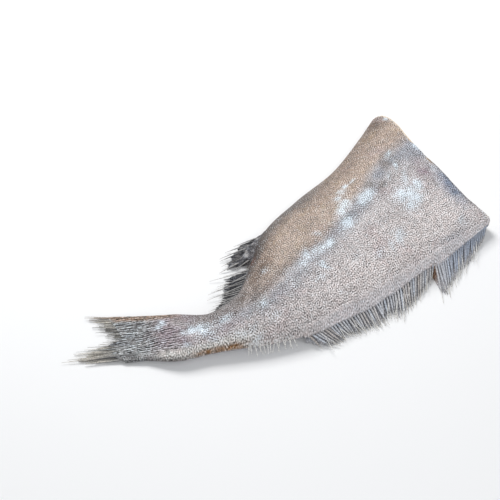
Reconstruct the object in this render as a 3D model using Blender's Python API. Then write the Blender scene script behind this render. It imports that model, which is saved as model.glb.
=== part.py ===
"""Greenland halibut, sold headed and gutted: one raw carcass lying flat on its side.

Row frame, in metres: +X runs from the tail to the head cut, -Y to the back (dorsal) edge,
+Y to the belly (ventral) edge, +Z up. The fish lies on z = 0.
"""

import math

import bmesh
import bpy
import numpy as np
from mathutils import Matrix, Vector

MM = 0.001

# ---------------------------------------------------------------- driving sizes

# The body from the head cut to the root of the tail fin. Each row is one cross-section, in mm:
# belly edge x and y, back edge x and y, greatest thickness, height of the thin edge above the table.
BODY_SECTIONS = (
    (214, 67.5, 215, -114, 38, 9),
    (180, 51, 176, -118, 40, 9),
    (128, 29, 122, -120, 40, 9),
    (68, 17, 52, -121, 37, 9),
    (16, 1, -4, -117, 33, 9),
    (-20, -28, -47, -104, 28, 9),
    (-47, -46, -78, -90, 24, 9),
    (-74, -48, -96, -82, 21, 8),
    (-105, -29, -126, -71, 17, 7),
    (-134, -12.5, -152, -54.5, 6, 3.4),
)
FOOTPRINT_CENTRE = (3.2 * MM, -41.45 * MM)  # middle of the plan outline, moved to the origin

SECTIONS_LENGTHWISE = 38
POINTS_ACROSS = 15  # from edge to edge, both over and under
EDGE_HALF_THICKNESS = 2.2 * MM
EDGE_BULGE = 1.4 * MM
FLAT_SHARE = 0.70  # share of the half depth that lies flat on the table
BACK_FULLNESS = (2.3, 0.72)  # |v|^a and (1 - ..)^b: how full the section is towards the back
BELLY_FULLNESS = (1.9, 0.80)  # the belly side is slacker
LATERAL_GROOVE = 1.6 * MM  # depth of the shallow valley over the backbone
LATERAL_GROOVE_WIDTH = 0.10  # of the half depth
FULL_THICKNESS = 40 * MM  # where the valley has its whole depth
UNDER_TURN = 1.6  # how late the lower skin turns up to the thin edge

# The knife's line across the fish, as x offsets in mm at shares of the depth, belly edge to back edge.
HEAD_CUT = (
    (1.0, 6),
    (0.80, 5.5),
    (0.60, 1.5),
    (0.40, -4),
    (0.20, -7.5),
    (0.0, -8),
    (-0.30, -8),
    (-0.50, -7.5),
    (-0.70, -4.5),
    (-0.85, 1),
    (-1.0, 9),
)
BELLY_CORNER_RADIUS = 7 * MM
BACK_CORNER_RADIUS = 9 * MM
CUT_REACH = 45 * MM  # how far back the knife's line still shapes the sections

# The belly hollow, open at the head cut.
GUT_CENTRE_SHARE = 0.46  # of the half depth, towards the belly edge
GUT_DEPTH_INWARDS = 70 * MM
GUT_HALF_WIDTH = 25 * MM
GUT_HALF_HEIGHT = 9 * MM
GUT_MID_HEIGHT = 17 * MM
GUT_SIDES, GUT_RINGS = 20, 10

# Fins. Positions along the body are shares from the head cut (0) to the root of the tail fin (1).
DORSAL_RAYS = 76
DORSAL_SPAN = (0.012, 0.765)
ANAL_RAYS = 34
ANAL_SPAN = (0.560, 0.818)
FIN_BURIED = 7 * MM  # how deep the fin's foot sits in the body's edge
FIN_REACH = (-1.0, 0.0, 0.5, 1.0)  # points down a ray: buried foot, the body's edge, half way, tip
FIN_DROOP = 0.8  # how quickly a ray sinks from the body's edge to the table
FIN_SWELL = (1.25, 1.0, 0.55)  # thickness at the foot, at the body's edge and at the tip
RAY_HALF_THICKNESS = 0.95 * MM
WEB_HALF_THICKNESS = 0.45 * MM  # of the skin between two rays
FIN_FLOOR_GAP = 0.4 * MM
FIN_TANGENT_STEP = 0.02  # share of the body's length on either side of a ray that gives its direction
TIP_LIFT = 0.9 * MM  # at most, above that gap
LENGTH_SCATTER = 0.10
SKIN_SCATTER = 0.08

# Length of the rays in mm, their lean towards the tail in degrees, and how far the skin between
# them still reaches (1 is the ray's tip), at shares of the body's length.
DORSAL_FORM = (
    (0.012, 12, 50, 0.9),
    (0.056, 24, 46, 0.92),
    (0.108, 26, 40, 0.92),
    (0.162, 33, 30, 0.88),
    (0.183, 37, 26, 0.85),
    (0.203, 32, 24, 0.9),
    (0.209, 5, 32, 0.5),
    (0.213, 15, 42, 0.8),
    (0.252, 25, 38, 0.9),
    (0.324, 30, 28, 0.88),
    (0.337, 29, 26, 0.85),
    (0.344, 16, 25, 0.9),
    (0.412, 23, 8, 0.82),
    (0.477, 16, -8, 0.75),
    (0.514, 15, -20, 0.65),
    (0.560, 22, -36, 0.6),
    (0.590, 22, -44, 0.5),
    (0.597, 3, 0, 0.6),
    (0.640, 3, 0, 0.6),
    (0.650, 8, 8, 0.3),
    (0.730, 7, 10, 0.3),
    (0.765, 3, 20, 0.4),
)
ANAL_FORM = (
    (0.560, 6, 38, 0.9),
    (0.568, 16, 38, 0.9),
    (0.586, 24, 29, 0.95),
    (0.607, 30, 32, 0.95),
    (0.632, 33, 38, 0.95),
    (0.645, 5, 30, 0.9),
    (0.672, 5, 24, 0.9),
    (0.680, 27, 22, 0.85),
    (0.711, 24, 24, 0.85),
    (0.741, 19, 25, 0.85),
    (0.768, 17, 45, 0.85),
    (0.795, 11, 54, 0.85),
    (0.818, 4, 60, 0.8),
)

TAIL_RAYS = 22
TAIL_BURIED = 16 * MM
TAIL_FOOT_SHARE = 0.95  # the tail fin's feet run towards the middle of this section
TAIL_REACH = (-1.0, 0.0, 0.2, 0.4, 0.6, 0.8, 1.0)
TAIL_ROOT_HEIGHT = 3.2 * MM
TAIL_SWELL = (2.1, 2.1, 0.65)
TAIL_SKIN = 0.86  # how far the skin between the tail's rays reaches
TAIL_ROOT_SHARES = (0.03, 0.97)  # the part of the body's end that the fan takes up
# Share across the tail fin from its belly edge to its back edge: heading in degrees, length in mm.
TAIL_FORM = (
    (0.00, 142, 52),
    (0.12, 144, 46),
    (0.25, 146, 36),
    (0.38, 149, 42),
    (0.44, 150, 36),
    (0.48, 151, 26),
    (0.60, 153, 44),
    (0.72, 152, 60),
    (0.86, 153, 73),
    (1.00, 152, 56),
)

SHARP_ANGLE = 40  # degrees between two faces that stay a crisp edge
SEED = 11


# ---------------------------------------------------------------- helpers


def smooth_rows(rows, share):
    """A smooth curve through the rows' columns, read where their first column equals share."""
    knots = np.array(rows, float)
    at = knots[:, 0]
    share = min(max(share, at[0]), at[-1])
    i = min(int(np.searchsorted(at, share, side="right")) - 1, len(at) - 2)
    slope = np.gradient(knots[:, 1:], at, axis=0)
    step = at[i + 1] - at[i]
    t = (share - at[i]) / step
    start, end = knots[i, 1:], knots[i + 1, 1:]
    return (
        (2 * t**3 - 3 * t**2 + 1) * start
        + (t**3 - 2 * t**2 + t) * step * slope[i]
        + (3 * t**2 - 2 * t**3) * end
        + (t**3 - t**2) * step * slope[i + 1]
    )


def straight_rows(rows, share):
    """The rows' columns read by straight steps, for sizes that change abruptly, such as torn skin."""
    knots = np.array(rows, float)
    return [float(np.interp(share, knots[:, 0], column)) for column in knots.T[1:]]


def body_rows():
    """BODY_SECTIONS in metres, with each section's share of the body's length in front."""
    rows = np.array(BODY_SECTIONS, float) * MM
    middles = (rows[:, 0:2] + rows[:, 2:4]) / 2
    steps = np.linalg.norm(np.diff(middles, axis=0), axis=1)
    run = np.concatenate([[0], np.cumsum(steps)])
    return np.column_stack([run / run[-1], rows]), run[-1]


BODY_ROWS, BODY_RUN = body_rows()


def section(share):
    """Belly edge, back edge, thickness and edge height of the section there."""
    row = smooth_rows(BODY_ROWS, share)
    return Vector(row[0:2]), Vector(row[2:4]), row[4], row[5]


def cut_offset(across):
    """How far the head cut runs ahead of its straight line. across is 1 at the belly edge, -1 at the back."""
    knots = sorted((a, x) for a, x in HEAD_CUT)
    wave = smooth_rows(knots, across)[0] * MM
    belly, back, _, _ = section(0)
    half_depth = (belly - back).length / 2
    radius = BELLY_CORNER_RADIUS if across > 0 else BACK_CORNER_RADIUS
    into_corner = max(0.0, abs(across) * half_depth - (half_depth - radius))
    round_off = radius - math.sqrt(max(0.0, radius**2 - into_corner**2))
    return wave - round_off


def plan_point(share, across):
    """Place in plan of a point of the body: across is 1 at the belly edge and -1 at the back edge."""
    belly, back, _, _ = section(share)
    point = (belly + back) / 2 + (belly - back) / 2 * across
    fade = max(0.0, 1 - share * BODY_RUN / CUT_REACH)
    point.x += cut_offset(across) * fade * fade * (3 - 2 * fade)
    return point


def top_height(share, across):
    """Height of the upper skin."""
    _, _, thickness, edge = section(share)
    power, fullness = BELLY_FULLNESS if across > 0 else BACK_FULLNESS
    rise = (1 - abs(across) ** power) ** fullness
    low = edge + EDGE_HALF_THICKNESS
    groove = LATERAL_GROOVE * math.exp(-((across / LATERAL_GROOVE_WIDTH) ** 2)) * (thickness / FULL_THICKNESS)
    return low + (thickness - low) * rise - groove


def under_height(share, across):
    """Height of the lower skin: flat on the table, turned up towards the thin edges."""
    _, _, _, edge = section(share)
    outside = max(0.0, (abs(across) - FLAT_SHARE) / (1 - FLAT_SHARE))
    return (edge - EDGE_HALF_THICKNESS) * outside**UNDER_TURN


def mesh_object(name, points, faces, material):
    """One object of one material from points and faces, with its normals facing out."""
    mesh = bpy.data.meshes.new(name)
    mesh.from_pydata([tuple(p) for p in points], [], faces)
    edit = bmesh.new()
    edit.from_mesh(mesh)
    bmesh.ops.recalc_face_normals(edit, faces=edit.faces)
    edit.to_mesh(mesh)
    edit.free()
    mesh.materials.append(material)
    made = bpy.data.objects.new(name, mesh)
    bpy.context.scene.collection.objects.link(made)
    return made


def surface_material(name, colour, roughness):
    made = bpy.data.materials.new(name)
    made.use_nodes = True
    shader = made.node_tree.nodes["Principled BSDF"]
    shader.inputs["Base Color"].default_value = (*colour, 1)
    shader.inputs["Roughness"].default_value = roughness
    shader.inputs["Metallic"].default_value = 0
    return made


# ---------------------------------------------------------------- the body


def ring(share):
    """The points round one section: over the top from belly to back, round the edge, under and home."""
    belly, back, _, edge = section(share)
    outward = (belly - back).normalized() * EDGE_BULGE
    over, under = [], []
    for angle in np.linspace(0, math.pi, POINTS_ACROSS):  # closer together near the thin edges
        across = math.cos(angle)
        place = plan_point(share, across)
        over.append((place.x, place.y, top_height(share, across)))
        under.append((place.x, place.y, under_height(share, across)))
    at_back = plan_point(share, -1) - outward
    at_belly = plan_point(share, 1) + outward
    return over + [(at_back.x, at_back.y, edge)] + under[::-1] + [(at_belly.x, at_belly.y, edge)]


def end_faces(first):
    """Closes one end with narrow upright strips, each from the upper skin to the lower."""
    last_under = 2 * POINTS_ACROSS
    faces = [(first, first + last_under, first + last_under + 1)]
    for j in range(POINTS_ACROSS - 1):
        faces.append((first + j, first + j + 1, first + last_under - j - 1, first + last_under - j))
    faces.append((first + POINTS_ACROSS - 1, first + POINTS_ACROSS, first + POINTS_ACROSS + 1))
    return faces


def make_body(skin, flesh):
    """Lofts the body through its sections, closed by the head cut and by the root of the tail fin."""
    shares = np.linspace(0, 1, SECTIONS_LENGTHWISE)
    points = [p for share in shares for p in ring(share)]
    around = 2 * POINTS_ACROSS + 2
    faces = []
    for i in range(SECTIONS_LENGTHWISE - 1):
        for j in range(around):
            k = (j + 1) % around
            near, far = i * around, (i + 1) * around
            faces.append((near + j, near + k, far + k, far + j))
    cut_faces = end_faces(0)
    faces += cut_faces + end_faces((SECTIONS_LENGTHWISE - 1) * around)
    body = mesh_object("body", points, faces, skin)
    body.data.materials.append(flesh)
    first = (SECTIONS_LENGTHWISE - 1) * around
    for face in body.data.polygons[first : first + len(cut_faces)]:
        face.material_index = 1
    return body


def cut_belly_hollow(body, lining):
    """Takes the gutted hollow out of the body, from the head cut inwards."""
    belly, back, _, _ = section(0)
    mouth = (belly + back) / 2 + (belly - back) / 2 * GUT_CENTRE_SHARE
    inner_belly, inner_back, _, _ = section(GUT_DEPTH_INWARDS / BODY_RUN)
    inner = (inner_belly + inner_back) / 2 + (inner_belly - inner_back) / 2 * GUT_CENTRE_SHARE
    heading = math.atan2(mouth.y - inner.y, mouth.x - inner.x)
    bpy.ops.mesh.primitive_uv_sphere_add(segments=GUT_SIDES, ring_count=GUT_RINGS, radius=1)
    hollow = bpy.context.object
    hollow.name = "belly_hollow_cutter"
    hollow.data.materials.append(lining)
    turn_pole_up = Matrix.Rotation(math.radians(90), 4, "Y")
    stretch = Matrix.Diagonal((GUT_DEPTH_INWARDS, GUT_HALF_WIDTH, GUT_HALF_HEIGHT, 1))
    place = Matrix.Translation((mouth.x, mouth.y, GUT_MID_HEIGHT)) @ Matrix.Rotation(heading, 4, "Z")
    hollow.data.transform(place @ stretch @ turn_pole_up)
    hollow.hide_render = True
    hollow.display_type = "WIRE"
    cut = body.modifiers.new("belly hollow", "BOOLEAN")
    cut.operation = "DIFFERENCE"
    cut.object = hollow
    cut.solver = "EXACT"
    cut.material_mode = "TRANSFER"
    bpy.context.view_layer.objects.active = body
    bpy.ops.object.modifier_apply(modifier=cut.name)
    bpy.data.objects.remove(hollow)


# ---------------------------------------------------------------- fins


def blade(name, columns, material):
    """A thin closed sheet from columns of (middle point, half thickness), all of the same length."""
    rows = len(columns[0])
    points, faces = [], []
    for column in columns:
        for side in (1, -1):
            points += [(p.x, p.y, p.z + side * half) for p, half in column]
    stride = 2 * rows

    def over(i, j):
        return i * stride + j

    def under(i, j):
        return i * stride + rows + j

    for i in range(len(columns) - 1):
        for j in range(rows - 1):
            faces.append((over(i, j), over(i, j + 1), over(i + 1, j + 1), over(i + 1, j)))
            faces.append((under(i, j), under(i + 1, j), under(i + 1, j + 1), under(i, j + 1)))
        for j in (0, rows - 1):
            faces.append((over(i, j), under(i, j), under(i + 1, j), over(i + 1, j)))
    for i in (0, len(columns) - 1):
        for j in range(rows - 1):
            faces.append((over(i, j), over(i, j + 1), under(i, j + 1), under(i, j)))
    return mesh_object(name, points, faces, material)


def fin_column(root, foot, way, heights, swell, reach, half_thickness):
    """Points down one ray, or down the skin beside it, with the half thickness at each."""
    column = []
    for r in reach:
        place = root + foot if r < 0 else root + way * r
        fall = max(0.0, r) ** FIN_DROOP
        height = heights[0] * (1 - fall) + heights[1] * fall
        grown = swell[0] if r < 0 else swell[1] * (1 - r) + swell[2] * r
        column.append((Vector((place.x, place.y, height)), half_thickness * grown))
    return column


def scattered(rng, amount):
    return 1 + amount * rng.uniform(-1, 1)


def tip_height(rng):
    return FIN_FLOOR_GAP + RAY_HALF_THICKNESS + TIP_LIFT * rng.random()


def edge_fin(name, side, rays, span, form, rng, material):
    """A long fin along one edge of the body: ray, skin, ray, and so on. side is 1 for the belly edge."""
    columns = []
    for k in range(2 * rays - 1):
        share = span[0] + (span[1] - span[0]) * k / (2 * rays - 2)
        length, lean, skin = straight_rows(form, share)
        length *= MM * scattered(rng, LENGTH_SCATTER)
        half = RAY_HALF_THICKNESS
        if k % 2:
            length *= skin * scattered(rng, SKIN_SCATTER)
            half = WEB_HALF_THICKNESS
        ahead = plan_point(max(0, share - FIN_TANGENT_STEP), side)
        behind = plan_point(share + FIN_TANGENT_STEP, side)
        tailward = (behind - ahead).normalized()
        outward = Vector((tailward.y, -tailward.x)) * side
        lean = math.radians(lean)
        way = (outward * math.cos(lean) + tailward * math.sin(lean)) * length
        heights = (section(share)[3], tip_height(rng))
        foot = outward * -FIN_BURIED
        columns.append(fin_column(plan_point(share, side), foot, way, heights, FIN_SWELL, FIN_REACH, half))
    return blade(name, columns, material)


def tail_fin(rng, material):
    """The tail fin: a fan of rays from the end of the body, split into two frayed lobes."""
    belly, back, _, _ = section(1)
    inner_belly, inner_back, _, _ = section(TAIL_FOOT_SHARE)
    foot = (inner_belly + inner_back - belly - back).normalized() * TAIL_BURIED
    first, last = TAIL_ROOT_SHARES
    columns = []
    for k in range(2 * TAIL_RAYS - 1):
        share = k / (2 * TAIL_RAYS - 2)
        heading, length = straight_rows(TAIL_FORM, share)
        length *= MM * scattered(rng, LENGTH_SCATTER)
        half = RAY_HALF_THICKNESS
        if k % 2:
            length *= TAIL_SKIN
            half = WEB_HALF_THICKNESS
        heading = math.radians(heading)
        way = Vector((math.cos(heading), math.sin(heading))) * length
        root = belly + (back - belly) * (first + (last - first) * share)
        heights = (TAIL_ROOT_HEIGHT, tip_height(rng))
        columns.append(fin_column(root, foot, way, heights, TAIL_SWELL, TAIL_REACH, half))
    return blade("tail_fin", columns, material)


# ---------------------------------------------------------------- the whole fish


def join_into(body, others):
    """Fuses the fins into the body, so that the carcass is one closed solid."""
    group = bpy.data.collections.new("fins")
    for other in others:
        bpy.context.scene.collection.objects.unlink(other)
        group.objects.link(other)
    bpy.context.scene.collection.children.link(group)
    join = body.modifiers.new("fins", "BOOLEAN")
    join.operation = "UNION"
    join.operand_type = "COLLECTION"
    join.collection = group
    join.solver = "EXACT"
    join.material_mode = "TRANSFER"
    bpy.context.view_layer.objects.active = body
    bpy.ops.object.modifier_apply(modifier=join.name)
    for other in list(group.objects):
        bpy.data.objects.remove(other)
    bpy.data.collections.remove(group)


def main():
    for existing in list(bpy.data.objects):
        bpy.data.objects.remove(existing)
    skin = surface_material("skin", (0.34, 0.29, 0.25), 0.45)
    flesh = surface_material("flesh", (0.72, 0.62, 0.50), 0.35)
    lining = surface_material("gut_lining", (0.015, 0.013, 0.018), 0.25)
    fin = surface_material("fin", (0.15, 0.155, 0.18), 0.5)
    rng = np.random.default_rng(SEED)
    body = make_body(skin, flesh)
    cut_belly_hollow(body, lining)
    fins = [
        edge_fin("dorsal_fin", -1, DORSAL_RAYS, DORSAL_SPAN, DORSAL_FORM, rng, fin),
        edge_fin("anal_fin", 1, ANAL_RAYS, ANAL_SPAN, ANAL_FORM, rng, fin),
        tail_fin(rng, fin),
    ]
    join_into(body, fins)
    body.name = "halibut"
    body.data.transform(Matrix.Translation((-FOOTPRINT_CENTRE[0], -FOOTPRINT_CENTRE[1], 0)))
    body.data.set_sharp_from_angle(angle=math.radians(SHARP_ANGLE))


main()
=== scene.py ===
"""Looks of a raw Greenland halibut carcass, headed and gutted, lying flat on its side.

Metres, in the part's own frame: +X towards the head cut, -Y the back edge, +Y the belly edge, +Z up.
"""

import math

import bpy
import numpy as np
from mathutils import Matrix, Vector, noise


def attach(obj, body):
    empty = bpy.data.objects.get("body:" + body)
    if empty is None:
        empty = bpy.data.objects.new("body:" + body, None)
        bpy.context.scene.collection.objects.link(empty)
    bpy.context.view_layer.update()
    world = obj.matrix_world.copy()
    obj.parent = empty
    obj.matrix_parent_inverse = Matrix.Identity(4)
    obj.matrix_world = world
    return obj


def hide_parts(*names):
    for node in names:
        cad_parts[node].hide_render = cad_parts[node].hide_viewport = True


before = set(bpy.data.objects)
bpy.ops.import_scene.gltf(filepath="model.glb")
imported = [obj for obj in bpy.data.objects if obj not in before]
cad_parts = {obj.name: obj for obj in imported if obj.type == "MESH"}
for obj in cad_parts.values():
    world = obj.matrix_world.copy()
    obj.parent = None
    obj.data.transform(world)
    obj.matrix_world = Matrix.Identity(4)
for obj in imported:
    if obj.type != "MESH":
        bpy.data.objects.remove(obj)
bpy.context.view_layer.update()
bpy.ops.object.select_all(action="DESELECT")
scene = bpy.context.scene

# ------------------------------------------------------------------ camera, light and table
# The fish lies on a pale table and is seen from above its back edge, the tail to the left and the head
# cut to the upper right. A large soft box behind it gives the light, with weaker fills in front.

VIEW_AZIMUTH = math.radians(-33.5)
VIEW_ELEVATION = math.radians(55)
VIEW_DISTANCE = 0.85
VIEW_TARGET = Vector((-0.0032, 0.04145, 0))
FOCAL_LENGTH = 60  # in mm, like the sensor's width
SENSOR_WIDTH = 36
SKY_WHITE = (0.93, 0.96, 1, 1)
SKY_STRENGTH = 0.35
TABLE_SIZE = 6
TABLE_DROP = 0.0002  # keeps the table's top just under the fish
TABLE_WHITE = (0.93, 0.93, 0.93, 1)
TABLE_ROUGHNESS = 0.7

view_back = Vector((
    math.sin(VIEW_AZIMUTH) * math.cos(VIEW_ELEVATION),
    -math.cos(VIEW_AZIMUTH) * math.cos(VIEW_ELEVATION),
    math.sin(VIEW_ELEVATION),
))
bpy.ops.object.camera_add(
    location=VIEW_TARGET + view_back * VIEW_DISTANCE,
    rotation=view_back.to_track_quat("Z", "Y").to_euler(),
)
camera = bpy.context.object
camera.data.lens = FOCAL_LENGTH
camera.data.sensor_width = SENSOR_WIDTH
scene.camera = camera
scene.view_settings.view_transform = "Standard"


def soft_box(name, place, size, power, colour=(1, 1, 1)):
    """A square area light that looks at the middle of the fish."""
    place = Vector(place)
    turn = place.to_track_quat("Z", "Y").to_euler()
    bpy.ops.object.light_add(type="AREA", location=place, rotation=turn)
    light = bpy.context.object
    light.name = name
    light.data.size = size
    light.data.energy = power
    light.data.color = colour


soft_box("key_light", (0.24, 1.0, 1.08), size=0.55, power=18)
soft_box("fill_light", (0.9, -0.7, 1.0), size=1.2, power=3.2, colour=(0.97, 0.98, 1))
soft_box("front_light", (-0.5, -0.9, 0.9), size=1.2, power=3.6)

scene.world = bpy.data.worlds.new("studio")
scene.world.use_nodes = True
background = scene.world.node_tree.nodes["Background"]
background.inputs["Color"].default_value = SKY_WHITE
background.inputs["Strength"].default_value = SKY_STRENGTH


def new_material(name):
    """A material, its node tree and its Principled shader."""
    made = bpy.data.materials.new(name)
    made.use_nodes = True
    return made, made.node_tree, made.node_tree.nodes["Principled BSDF"]


bpy.ops.mesh.primitive_plane_add(size=TABLE_SIZE, location=(0, 0, -TABLE_DROP))
table = bpy.context.object
table.name = "table"
table_paint, _, shader = new_material("table_white")
shader.inputs["Base Color"].default_value = TABLE_WHITE
shader.inputs["Roughness"].default_value = TABLE_ROUGHNESS
table.data.materials.append(table_paint)

# ------------------------------------------------------------------ the skin of the seen side
# Thin scaly skin over the upper side, from the belly edge to the back edge. It is beige-grey, browner to
# the belly, with a blue-grey band over the backbone, and white frost lies on it in patches. The knife has
# left it a little short of the flesh at the head cut, and its scales run out on the rays of the tail.
# Some light and shade is painted into its colours: paler towards the back edge, darker along the belly edge,
# in the creases by the belly fin and along the tail stalk's back rim.

MM = 0.001
BODY_SECTIONS = (
    # belly edge x and y, back edge x and y, greatest thickness, height of the thin edge, in mm
    (214, 67.5, 215, -114, 38, 9),
    (180, 51, 176, -118, 40, 9),
    (128, 29, 122, -120, 40, 9),
    (68, 17, 52, -121, 37, 9),
    (16, 1, -4, -117, 33, 9),
    (-20, -28, -47, -104, 28, 9),
    (-47, -46, -78, -90, 24, 9),
    (-74, -48, -96, -82, 21, 8),
    (-105, -29, -126, -71, 17, 7),
    (-132.8, -10.3, -150.5, -52, 6, 3.4),
)
FOOTPRINT_CENTRE = np.array((3.2, -41.45)) * MM
EDGE_HALF_THICKNESS = 2.2 * MM
EDGE_BULGE = 1.4 * MM  # how far the rounded edge stands out past its line
EDGE_ROUNDING = 2 * MM
FLAT_SHARE = 0.70  # part of the underside that lies flat
BACK_FULLNESS = (2.3, 0.72)  # the two powers of the body's rounding
BELLY_FULLNESS = (1.9, 0.80)
LATERAL_GROOVE = 1.6 * MM  # depth of the groove over the backbone
LATERAL_GROOVE_WIDTH = 0.10
FULL_THICKNESS = 40 * MM
UNDER_TURN = 1.6  # power of the underside's turn up to the thin edges
# The knife's cut: place across the body, how far the cut stands forward there in mm.
HEAD_CUT = (
    (-1.0, 9),
    (-0.85, 1),
    (-0.70, -4.5),
    (-0.50, -7.5),
    (-0.30, -8),
    (0.0, -8),
    (0.20, -7.5),
    (0.40, -4),
    (0.60, 1.5),
    (0.80, 5.5),
    (1.0, 6),
)
BELLY_CORNER_RADIUS = 7 * MM
BACK_CORNER_RADIUS = 9 * MM
CUT_REACH = 45 * MM  # how far behind the cut its slant dies out
TAIL_TOP = 4.9 * MM  # heights of the upper and the lower skin on the tail fin
TAIL_UNDER = 1.2 * MM
TAIL_BLEND = 14 * MM
TAIL_FALL = 0.075  # how steeply the scales sink in between the tail's rays
# Share across the tail fin from its belly edge to its back edge: heading in degrees, length in mm.
TAIL_FORM = (
    (0.00, 145, 53),
    (0.07, 144, 50),
    (0.11, 145, 46),
    (0.18, 146, 44),
    (0.22, 147, 46),
    (0.28, 148, 45),
    (0.32, 149, 31),
    (0.42, 150, 36),
    (0.48, 151, 26),
    (0.60, 153, 44),
    (0.72, 152, 60),
    (0.86, 153, 73),
    (1.00, 152, 56),
)


def smooth_rows(rows, at):
    """Smooth curves through the rows' columns, read where their first column equals at."""
    rows = np.array(rows, float)
    knots, values = rows[:, 0], rows[:, 1:]
    at = np.clip(np.atleast_1d(np.asarray(at, float)), knots[0], knots[-1])
    i = np.clip(np.searchsorted(knots, at, side="right") - 1, 0, len(knots) - 2)
    slope = np.gradient(values, knots, axis=0)
    step = (knots[i + 1] - knots[i])[:, None]
    t = (at - knots[i])[:, None] / step
    return (
        (2 * t**3 - 3 * t**2 + 1) * values[i]
        + (t**3 - 2 * t**2 + t) * step * slope[i]
        + (3 * t**2 - 2 * t**3) * values[i + 1]
        + (t**3 - t**2) * step * slope[i + 1]
    )


def straight_rows(rows, at):
    """The same by straight steps, for sizes that change abruptly, such as torn skin."""
    knots = np.array(rows, float)
    return np.column_stack([np.interp(at, knots[:, 0], column) for column in knots.T[1:]])


def fade(value, low, high):
    """0 below low, 1 above high, and smooth between."""
    t = np.clip((value - low) / (high - low), 0, 1)
    return t * t * (3 - 2 * t)


def stretch(value, start, full, fall, end):
    """Rises from 0 at start to 1 at full, and falls from 1 at fall to 0 at end."""
    return fade(value, start, full) * (1 - fade(value, fall, end))


def heading(degrees):
    """Unit vectors in plan."""
    turn = np.radians(degrees)
    return np.column_stack([np.cos(turn), np.sin(turn)])


section_table = np.array(BODY_SECTIONS, float) * MM
section_middles = (section_table[:, 0:2] + section_table[:, 2:4]) / 2
section_run = np.concatenate([[0], np.cumsum(np.linalg.norm(np.diff(section_middles, axis=0), axis=1))])
BODY_RUN = section_run[-1]
BODY_ROWS = np.column_stack([section_run / BODY_RUN, section_table])


def body_place(share, across):
    """Plan position, half depth, thickness and edge height there.

    share is 0 at the head cut, 1 at the root of the tail fin and more on the fin itself. across is 1 at
    the belly edge and -1 at the back edge.
    """
    share, across = (np.atleast_1d(value).astype(float) for value in (share, across))
    share, across = np.broadcast_arrays(share, across)
    rows = smooth_rows(BODY_ROWS, share)
    belly, back = rows[:, 0:2], rows[:, 2:4]
    half_depth = np.linalg.norm(belly - back, axis=1) / 2
    reach = across * (1 + EDGE_BULGE / half_depth)
    plan = (belly + back) / 2 + (belly - back) / 2 * reach[:, None] - FOOTPRINT_CENTRE
    radius = np.where(across > 0, BELLY_CORNER_RADIUS, BACK_CORNER_RADIUS)
    into_corner = np.clip(np.abs(across) * half_depth - (half_depth - radius), 0, radius)
    round_off = radius - np.sqrt(radius**2 - into_corner**2)
    wave = smooth_rows(HEAD_CUT, across)[:, 0] * MM
    plan[:, 0] += (wave - round_off) * fade(1 - share * BODY_RUN / CUT_REACH, 0, 1)
    beyond = np.maximum(share - 1, 0) * BODY_RUN
    plan += heading(straight_rows(TAIL_FORM, (1 - across) / 2)[:, 0]) * beyond[:, None]
    return plan, half_depth, rows[:, 4], rows[:, 5]


def hump(value, middle, half_width):
    """1 where the value is at the middle, falling away smoothly on both sides."""
    return np.exp(-(((value - middle) / half_width) ** 2))


def rounded_rim(away, half_depth):
    """1 over the body, falling to 0 in a quarter round at its thin edges."""
    return np.sqrt(np.clip(1 - away ** (2 * half_depth / EDGE_ROUNDING), 0, 1))


def upper_side(share, across):
    """Points on the smooth upper side."""
    plan, half_depth, thickness, edge = body_place(share, across)
    away = np.abs(across)
    rim = rounded_rim(away, half_depth)
    full_back, full_belly = (np.clip(1 - away**a, 0, 1) ** b for a, b in (BACK_FULLNESS, BELLY_FULLNESS))
    full = np.where(np.asarray(across) > 0, full_belly, full_back)
    groove = LATERAL_GROOVE * hump(across, 0, LATERAL_GROOVE_WIDTH) * thickness / FULL_THICKNESS
    low = edge + EDGE_HALF_THICKNESS
    height = edge + EDGE_HALF_THICKNESS * rim + (thickness - low) * full - groove
    beyond = np.maximum(np.asarray(share) - 1, 0) * BODY_RUN
    height = height + (edge + (TAIL_TOP - edge) * rim - height) * fade(beyond, 0, TAIL_BLEND)
    return np.column_stack([plan, height - TAIL_FALL * beyond])


def under_side(share, across):
    """Points on the smooth lower side: flat on the table, turned up towards the thin edges."""
    plan, half_depth, _, edge = body_place(share, across)
    away = np.abs(across)
    rim = rounded_rim(away, half_depth)
    outside = np.clip((away - FLAT_SHARE) / (1 - FLAT_SHARE), 0, 1)
    height = (edge - EDGE_HALF_THICKNESS * rim) * outside**UNDER_TURN
    on_tail = fade((np.asarray(share) - 1) * BODY_RUN, 0, TAIL_BLEND)
    height = height + (edge - (edge - TAIL_UNDER) * rim - height) * on_tail
    return np.column_stack([plan, height])


def sheet_grid(name, columns, rows):
    """A flat grid primitive to be shaped, with the place of each of its points from 0 to 1 both ways."""
    bpy.ops.mesh.primitive_grid_add(x_subdivisions=columns, y_subdivisions=rows, size=1)
    made = bpy.context.object
    made.name = name
    made.data.name = name
    points = np.empty(len(made.data.vertices) * 3)
    made.data.vertices.foreach_get("co", points)
    points = points.reshape(-1, 3) + 0.5
    return made, points[:, 0], points[:, 1]


def set_points(piece, points):
    """Moves all of a piece's points."""
    piece.data.vertices.foreach_set("co", np.asarray(points, np.float32).ravel())
    piece.data.update()


def ripple(points, size, seed=0):
    """Smooth noise, about -1 to 1, with lumps of the given size in metres."""
    shift = Vector((seed * 7.3, seed * 3.1, seed * 5.7))
    return np.array([noise.noise(Vector(p) / size + shift) for p in points])


def layers(points, seed, *sizes):
    """Smooth noise in several sizes, one over the other. Each is (size in metres, strength)."""
    return sum(strength * ripple(points, size, seed + i) for i, (size, strength) in enumerate(sizes))


def pick(piece):
    """Selects one piece alone."""
    bpy.ops.object.select_all(action="DESELECT")
    piece.select_set(True)
    bpy.context.view_layer.objects.active = piece


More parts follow.
